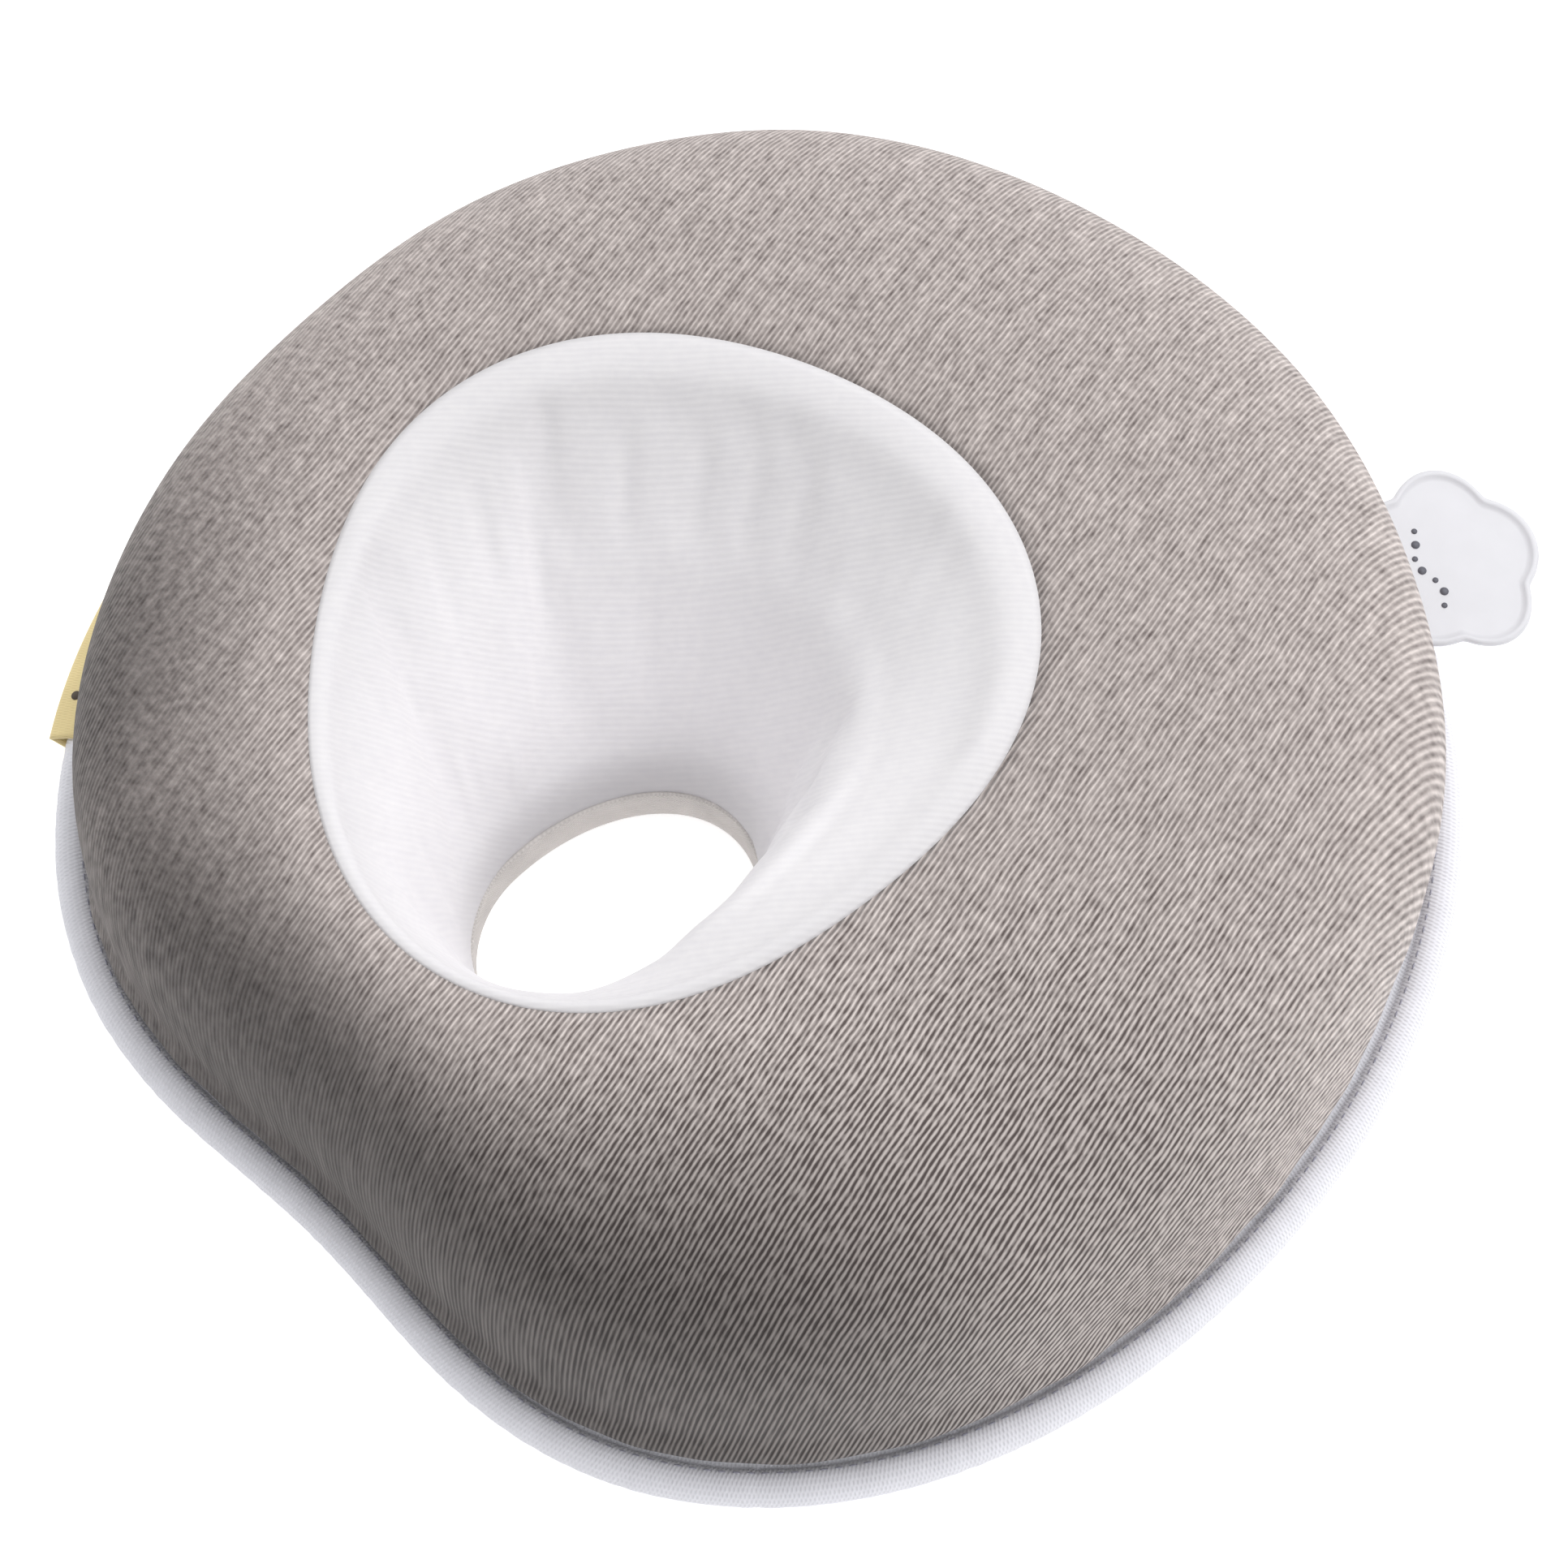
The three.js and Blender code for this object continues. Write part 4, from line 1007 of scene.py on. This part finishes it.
class ZipOperator(bpy.types.Operator):
    """Zip across the base: tapes, teeth, stops, slider and pull"""

    bl_idname = "pillow.zip"
    bl_label = "Zip"

    def execute(self, context):
        t = tones()
        # acetal resin, injection moulded: smooth, slightly waxy, very fine grain
        plastic = grained(
            "Moulded acetal",
            t.zip,
            darker(t.zip, 0.9),
            grain=0.5 * MM,
            depth=0.02 * MM,
            sockets={"Roughness": 0.35, "IOR": 1.48, "Specular IOR Level": 0.5},
        )
        self.tapes()
        self.teeth(plastic)
        self.stops(plastic)
        self.slider(plastic)
        self.pull(plastic)
        return {"FINISHED"}

    def tapes(self):
        """The two CAD tapes keep their shape and get a ribbed woven finish."""
        t = tones()
        # polyester tape, woven in a rib across its width
        material, tree, shader = surface(
            "Woven polyester tape", {"Roughness": 0.85, "Sheen Weight": 0.1, "Specular IOR Level": 0.3}
        )
        place = node(tree, "TexCoord").outputs["Object"]
        along = node(tree, "SeparateXYZ", {0: place}).outputs[0]
        phase = node(tree, "Math", {0: along, 1: FULL_TURN / TAPE_RIB}, operation="MULTIPLY").outputs[0]
        rib = node(tree, "Math", {0: phase}, operation="SINE").outputs[0]
        share = node(tree, "MapRange", {0: rib, 1: -1.0, 2: 1.0, 3: 0.0, 4: 1.0}).outputs[0]
        groove = darker(t.tape, 0.75)
        mixed = node(tree, "Mix", {0: share, 6: groove, 7: t.tape}, data_type="RGBA").outputs[2]
        finish_surface(tree, shader, mixed, rib, 0.8, 0.12 * MM)
        for place_name in ("head", "neck"):
            tape = frame["nodes"][f"zip_tape_{place_name}"]
            tape.data.materials.clear()
            tape.data.materials.append(material)

    def teeth(self, plastic):
        for side, place in ((1, "head"), (-1, "neck")):
            low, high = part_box(f"zip_teeth_{place}")
            bm = bmesh.new()
            near_edge, far_edge = (low.y, high.y) if side > 0 else (high.y, low.y)
            tip = near_edge - side * 0.35 * MM
            for number in range(int((high.x - low.x) / TOOTH_PITCH)):
                x = low.x + (number + (0.25 if side > 0 else 0.75)) * TOOTH_PITCH
                back, front = sorted((tip, far_edge))
                add_block(bm, (x - 0.5 * MM, back, low.z), (x + 0.5 * MM, front, high.z))
            round_off(bm, bm.edges[:], 0.22 * MM, 1)
            name = f"zip_{place}_teeth"
            finish_piece(bm, name, plastic, smooth=False, replaced=[f"zip_teeth_{place}"])

    def stops(self, plastic):
        for cad in ("zip_top_stop_head", "zip_top_stop_neck", "zip_bottom_stop"):
            bm = bmesh.new()
            add_rounded_block(bm, *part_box(cad), 0.4 * MM, 3)
            finish_piece(bm, cad.replace("stop", "clip"), plastic, replaced=[cad])

    def slider(self, plastic):
        low, high = SLIDER_BOX
        middle = (low + high) / 2
        plate = 0.7 * MM
        bottom = low.z + 1.3 * MM + 0.3 * MM
        bm = bmesh.new()
        for z in (bottom, high.z - plate):
            verts = add_block(bm, (low.x, low.y, z), (high.x, high.y, z + plate))
            # the mouth is wide, and the body narrows to the closed teeth behind it
            for vert in verts:
                if vert.co.x < middle.x:
                    vert.co.y = middle.y + (vert.co.y - middle.y) * 0.72
            round_off(bm, edges_of(verts), 0.3 * MM, 3)

        def bar(x_from, x_to, half_y, z_from, z_to, radius, segments):
            corners = (x_from, middle.y - half_y, z_from), (x_to, middle.y + half_y, z_to)
            add_rounded_block(bm, *corners, radius, segments)

        # the web that parts the teeth
        bar(low.x + 2 * MM, high.x - 0.4 * MM, 0.25 * MM, bottom, high.z, 0.1 * MM, 1)
        # the bail: a small bridge that the pull hangs in
        for x in (middle.x - 1.5 * MM, middle.x + 1.5 * MM):
            bar(x - 0.2 * MM, x + 0.2 * MM, 0.7 * MM, low.z + 0.05 * MM, bottom + 0.3 * MM, 0.08 * MM, 2)
        bar(middle.x - 1.7 * MM, middle.x + 1.7 * MM, 0.7 * MM, low.z, low.z + 0.4 * MM, 0.15 * MM, 2)
        finish_piece(bm, "zip_slider_body", plastic, body="slider", replaced=["zip_slider"])

    def pull(self, plastic):
        low, high = PULL_BOX
        middle = (low + high) / 2
        half = (high.y - low.y) / 2
        bm = bmesh.new()
        # one flat tab: a round end and straight sides
        disc = bmesh.ops.create_circle(bm, segments=32, radius=half, cap_ends=True)["verts"]
        bmesh.ops.translate(bm, verts=disc, vec=(low.x + half, middle.y, low.z))
        for vert in disc:
            if vert.co.x > low.x + half + 0.1 * MM:
                share = (vert.co.x - low.x - half) / half
                vert.co.x = high.x - 0.5 * MM * (1 - share)
        raise_faces(bm, bm.faces[:], high.z - low.z)
        bmesh.ops.recalc_face_normals(bm, faces=bm.faces)
        rims = [edge for edge in bm.edges if abs(edge.verts[0].co.z - edge.verts[1].co.z) < 1e-6]
        round_off(bm, rims, 0.12 * MM, 2)
        finish_piece(bm, "zip_pull_tab", plastic, body="pull", replaced=["zip_pull"])


def add_mark(bm, place, outer, inner=0.0, thickness=0.06 * MM):
    """Adds a flat printed dot or ring, standing a hair above its ground."""
    disc = bmesh.ops.create_circle(bm, segments=24, radius=outer, cap_ends=True)["verts"]
    faces = list({face for vert in disc for face in vert.link_faces})
    if inner:
        ring = bmesh.ops.inset_region(bm, faces=faces, thickness=outer - inner)["faces"]
        bmesh.ops.delete(bm, geom=faces, context="FACES")
        faces = ring
    lifted = raise_faces(bm, faces, thickness)
    ring_verts = {vert for face in faces if face.is_valid for vert in face.verts} | set(lifted)
    bmesh.ops.transform(bm, matrix=place, verts=list(ring_verts))


class LabelOperator(bpy.types.Operator):
    """Yellow satin ribbon, folded over the piping at the left"""

    bl_idname = "pillow.label"
    bl_label = "Side label"

    def execute(self, context):
        t = tones()
        reach = float(np.linalg.norm(outline(np.array([LABEL_ANGLE]))[0] - np.array([0, frame_shift()])))
        span = LABEL_ANGLE + np.linspace(-0.5, 0.5, 33) * LABEL_LENGTH / reach
        # from the seam over the piping to a pressed fold, and back under it
        top = [(-3.6, 2.6), (-2.6, 3.3), (-1.2, 3.75), (0.4, 3.8), (2.0, 3.45), (3.6, 2.95), (5.0, 2.4)]
        top += [(5.8, 2.05)]
        fold = [(6.05, 1.85), (6.0, 1.55)]
        under = [(5.6, 1.2), (4.4, -0.6), (3.4, -2.0), (2.2, -3.1), (0.8, -3.65), (-0.8, -3.75)]
        under += [(-2.4, -3.2), (-3.4, -2.6)]
        section = np.array(top + fold + under) * MM
        points = np.concatenate([level(beside(outline, span, x), PIPING_HEIGHT + z) for x, z in section])
        steps = np.r_[0, np.cumsum(np.linalg.norm(np.diff(section, axis=0), axis=1))]
        along = np.linspace(0, LABEL_LENGTH, len(span))
        weave = np.stack(np.broadcast_arrays(along[None], steps[:, None]), -1)
        bm = grid_bmesh(points, weave, wrap=False)
        centre = Vector((*points.mean((0, 1))[:2], PIPING_HEIGHT))
        turn_faces(bm, lambda face: face.calc_center_median() - centre)
        # polyester satin ribbon: smooth floats along its length, soft shine, heat-pressed fold
        material = woven(
            "Yellow satin ribbon",
            t.label,
            darker(t.label, 0.82),
            thread=0.5 * MM,
            depth=0.03 * MM,
            sockets={"Roughness": 0.45, "Sheen Weight": 0.15, "Specular IOR Level": 0.5},
            stretch=5.0,
        )
        piece = finish_piece(bm, "ribbon_label", material, replaced=["side_label"])
        thicken(piece, 0.35 * MM)
        self.marks(reach)
        return {"FINISHED"}

    def marks(self, reach):
        """Generic print: a few rings and dots in a row, not lettering."""
        bm = bmesh.new()
        rings = [(-11, 1.5, 0.9), (-4.6, 1.5, 0.9), (5.0, 1.6, 1.0)]
        dots = [(-7.4, 0.9, 0), (1.5, 0.9, 0), (9.2, 1.0, 0)]
        for offset, outer, inner in sorted(rings + dots):
            at = np.array([LABEL_ANGLE + offset * MM / reach])
            point = beside(outline, at, 3.1 * MM)[0]
            outward = point - beside(outline, at, 2.1 * MM)[0]
            x_axis = Vector((*outward, -0.30 * MM)).normalized()
            normal = Vector((*outward, 0)).normalized() * 0.30 + Vector((0, 0, 1))
            normal.normalize()
            y_axis = normal.cross(x_axis)
            turn = Matrix((x_axis, y_axis, normal)).transposed().to_4x4()
            place = Matrix.Translation((*point, PIPING_HEIGHT + 3.13 * MM)) @ turn
            add_mark(bm, place, outer * MM, inner * MM, 0.07 * MM)
        bmesh.ops.recalc_face_normals(bm, faces=bm.faces)
        # screen-printed ink: matt, slightly raised and broken by the satin
        tone = tones().ink
        material = grained(
            "Screen-printed ink", tone, darker(tone, 0.7), 0.4 * MM, 0.02 * MM, {"Roughness": 0.7}
        )
        finish_piece(bm, "ribbon_print", material)


class TagOperator(bpy.types.Operator):
    """Soft milky cloud tag, with a welded rim and a small generic print"""

    bl_idname = "pillow.tag"
    bl_label = "Cloud tag"

    def execute(self, context):
        joint = next(j for j in frame["joints"] if j["name"] == "tag_flap")
        place = Matrix.Translation(joint["pos_m"]) @ Matrix.Rotation(TAG_TURN, 4, "Z")
        thick = TAG_BOX[1].z - TAG_BOX[0].z
        angle = angles(200)
        lobe = 0.84 + 0.16 * np.sqrt(np.cos(2.5 * angle) ** 2 + 0.012)
        middle = TAG_REACH * 0.46
        long, wide = (TAG_REACH - middle) * lobe * np.cos(angle), TAG_WIDTH / 2 * lobe * np.sin(angle)
        plan = np.stack([middle + long, wide], -1)
        centre = np.array([middle, 0.0])

        def ring(inset, height):
            """A ring drawn in from the edge by a distance, at a height."""
            away = plan - centre
            far = np.linalg.norm(away, axis=-1, keepdims=True)
            drawn = centre + away * (1 - inset / far)
            drawn[:, 0] = np.maximum(drawn[:, 0], 0.2 * MM)
            return level(drawn, height)

        # a rounded edge, a raised welded rim, and a thinner clear middle
        upper = [(0.0, 0.0), (0.12, 0.34), (0.4, 0.5), (1.0, 0.5), (1.35, 0.42), (1.6, 0.22), (2.4, 0.18)]
        upper += [(7.0, 0.16)]
        bm = grid_bmesh(np.concatenate([ring(d * MM, h * thick) for d, h in upper]))
        rim = [edge for edge in bm.edges if edge.is_boundary and edge.calc_length() > 0]
        inner = [edge for edge in rim if max(vert.co.z for vert in edge.verts) > 0.1 * thick]
        bmesh.ops.edgeloop_fill(bm, edges=inner)
        under = bmesh.ops.duplicate(bm, geom=[*bm.verts, *bm.edges, *bm.faces])["geom"]
        flipped = [item for item in under if isinstance(item, bmesh.types.BMVert)]
        bmesh.ops.scale(bm, vec=(1, 1, -1), verts=flipped)
        bmesh.ops.remove_doubles(bm, verts=bm.verts, dist=1e-7)
        bmesh.ops.recalc_face_normals(bm, faces=bm.faces)
        bmesh.ops.transform(bm, matrix=place, verts=bm.verts)
        t = tones()
        # soft vinyl, welded round its edge: milky, lets light through, with a damp gloss
        material = grained(
            "Milky welded vinyl",
            t.vinyl,
            darker(t.vinyl, 0.94),
            grain=5 * MM,
            depth=0.12 * MM,
            sockets={"Roughness": 0.28, "IOR": 1.5, "Alpha": 0.85, "Specular IOR Level": 0.5},
        )
        finish_piece(bm, "cloud_tag_vinyl", material, body="tag", replaced=["cloud_tag"])
        self.marks(place, thick)
        return {"FINISHED"}

    def marks(self, place, thick):
        """Generic print: a wavy line of dots under a small ring."""
        bm = bmesh.new()
        height = 0.19 * thick
        for number in range(7):
            y = (number - 3) * 2.6 * MM
            x = 9.5 * MM + 1.2 * MM * math.sin(number * 1.3)
            size = (0.55 + 0.25 * (number % 2)) * MM
            add_mark(bm, place @ Matrix.Translation((x, y, height)), size)
        add_mark(bm, place @ Matrix.Translation((16 * MM, 1 * MM, height)), 2.3 * MM, 1.9 * MM)
        bmesh.ops.recalc_face_normals(bm, faces=bm.faces)
        # pad-printed ink on vinyl: thin, even and slightly glossy
        tone, shade = linear("#6F6F78"), linear("#55555E")
        material = grained("Grey pad-printed ink", tone, shade, 0.4 * MM, 0.02 * MM, {"Roughness": 0.6})
        finish_piece(bm, "cloud_tag_print", material, body="tag")


class StageOperator(bpy.types.Operator):
    """Light table, soft studio light and the camera"""

    bl_idname = "pillow.stage"
    bl_label = "Stage"

    def execute(self, context):
        self.floor()
        self.lights()
        self.camera()
        context.scene.view_settings.view_transform = "Standard"
        return {"FINISHED"}

    def floor(self):
        bm = bmesh.new()
        bmesh.ops.create_grid(bm, x_segments=1, y_segments=1, size=3.0)
        bmesh.ops.translate(bm, verts=bm.verts, vec=(0, 0, -0.3 * MM))
        mesh = bpy.data.meshes.new("studio_floor")
        bm.to_mesh(mesh)
        bm.free()
        # opal acrylic of a light table: matt white, softly lit from below
        material, _, _ = surface(
            "Opal light table",
            {
                "Base Color": linear("#F6F6F6"),
                "Roughness": 1.0,
                "Emission Color": (1, 1, 1, 1),
                "Emission Strength": 0.45,
            },
        )
        mesh.materials.append(material)
        floor = bpy.data.objects.new("studio_floor", mesh)
        bpy.context.scene.collection.objects.link(floor)

    def lights(self):
        world = bpy.data.worlds.new("Studio")
        bpy.context.scene.world = world
        world.use_nodes = True
        tree = world.node_tree
        tree.nodes.clear()
        # a bright ceiling that falls off towards the neck side
        way = node(tree, "TexCoord").outputs["Generated"]
        facing = node(
            tree, "VectorMath", {0: way, 1: (-0.1, 0.55, 0.82)}, operation="DOT_PRODUCT"
        ).outputs["Value"]
        strength = node(tree, "MapRange", {0: facing, 1: -0.5, 2: 0.9, 3: 0.28, 4: 1.12}).outputs[0]
        sky = node(tree, "Background", {"Color": (1, 1, 1, 1), "Strength": strength})
        node(tree, "OutputWorld", {"Surface": sky.outputs[0]})
        panels = [
            ("key_panel", (0.0, 1.1, 1.3), 1.2, 9),
            ("fill_panel", (1.2, 0.4, 1.0), 1.0, 3),
        ]
        for name, place, size, power in panels:
            light = bpy.data.lights.new(name, "AREA")
            light.shape = "DISK"
            light.size = size
            light.energy = power
            lamp = bpy.data.objects.new(name, light)
            lamp.location = place
            lamp.rotation_mode = "QUATERNION"
            lamp.rotation_quaternion = (-Vector(place)).to_track_quat("-Z", "Y")
            bpy.context.scene.collection.objects.link(lamp)

    def camera(self):
        azimuth, elevation, distance = radians(44.0), radians(66.57), 0.59975
        ahead, side = math.sin(azimuth) * math.cos(elevation), -math.cos(azimuth) * math.cos(elevation)
        back = Vector((ahead, side, math.sin(elevation)))
        target = Vector((0, frame_shift(), 20 * MM))
        data = bpy.data.cameras.new("camera")
        data.lens, data.sensor_width = 79.26, 36.0
        data.shift_x, data.shift_y = 0.0152, -0.0102
        data.clip_start, data.clip_end = 0.01, 20.0
        camera = bpy.data.objects.new("camera", data)
        camera.location = target + back * distance
        camera.rotation_mode = "QUATERNION"
        camera.rotation_quaternion = (-back).to_track_quat("-Z", "Y")
        bpy.context.scene.collection.objects.link(camera)
        bpy.context.scene.camera = camera


class PillowPanel(bpy.types.Panel):
    """Lists the steps that build the pillow"""

    bl_idname = "VIEW3D_PT_pillow"
    bl_label = "Head support pillow"
    bl_space_type = "VIEW_3D"
    bl_region_type = "UI"
    bl_category = "Pillow"

    def draw(self, context):
        for group in (context.scene.pillow_sizes, context.scene.pillow_colours):
            for name in group.bl_rna.properties.keys():
                if name not in ("rna_type", "name"):
                    self.layout.prop(group, name)
        for step in STEPS:
            self.layout.operator(step.bl_idname)


STEPS = (
    StageOperator,
    FoamOperator,
    TopPanelOperator,
    DishOperator,
    HoleBandOperator,
    PipingOperator,
    BaseOperator,
    ZipOperator,
    LabelOperator,
    TagOperator,
)
CLASSES = (PillowSizes, PillowColours, *STEPS, PillowPanel)


def register():
    for item in CLASSES:
        bpy.utils.register_class(item)
    bpy.types.Scene.pillow_sizes = bpy.props.PointerProperty(type=PillowSizes)
    bpy.types.Scene.pillow_colours = bpy.props.PointerProperty(type=PillowColours)


def unregister():
    del bpy.types.Scene.pillow_colours
    del bpy.types.Scene.pillow_sizes
    for item in reversed(CLASSES):
        bpy.utils.unregister_class(item)


def main():
    register()
    for step in STEPS:
        group, name = step.bl_idname.split(".")
        getattr(getattr(bpy.ops, group), name)()


if __name__ == "__main__":
    main()
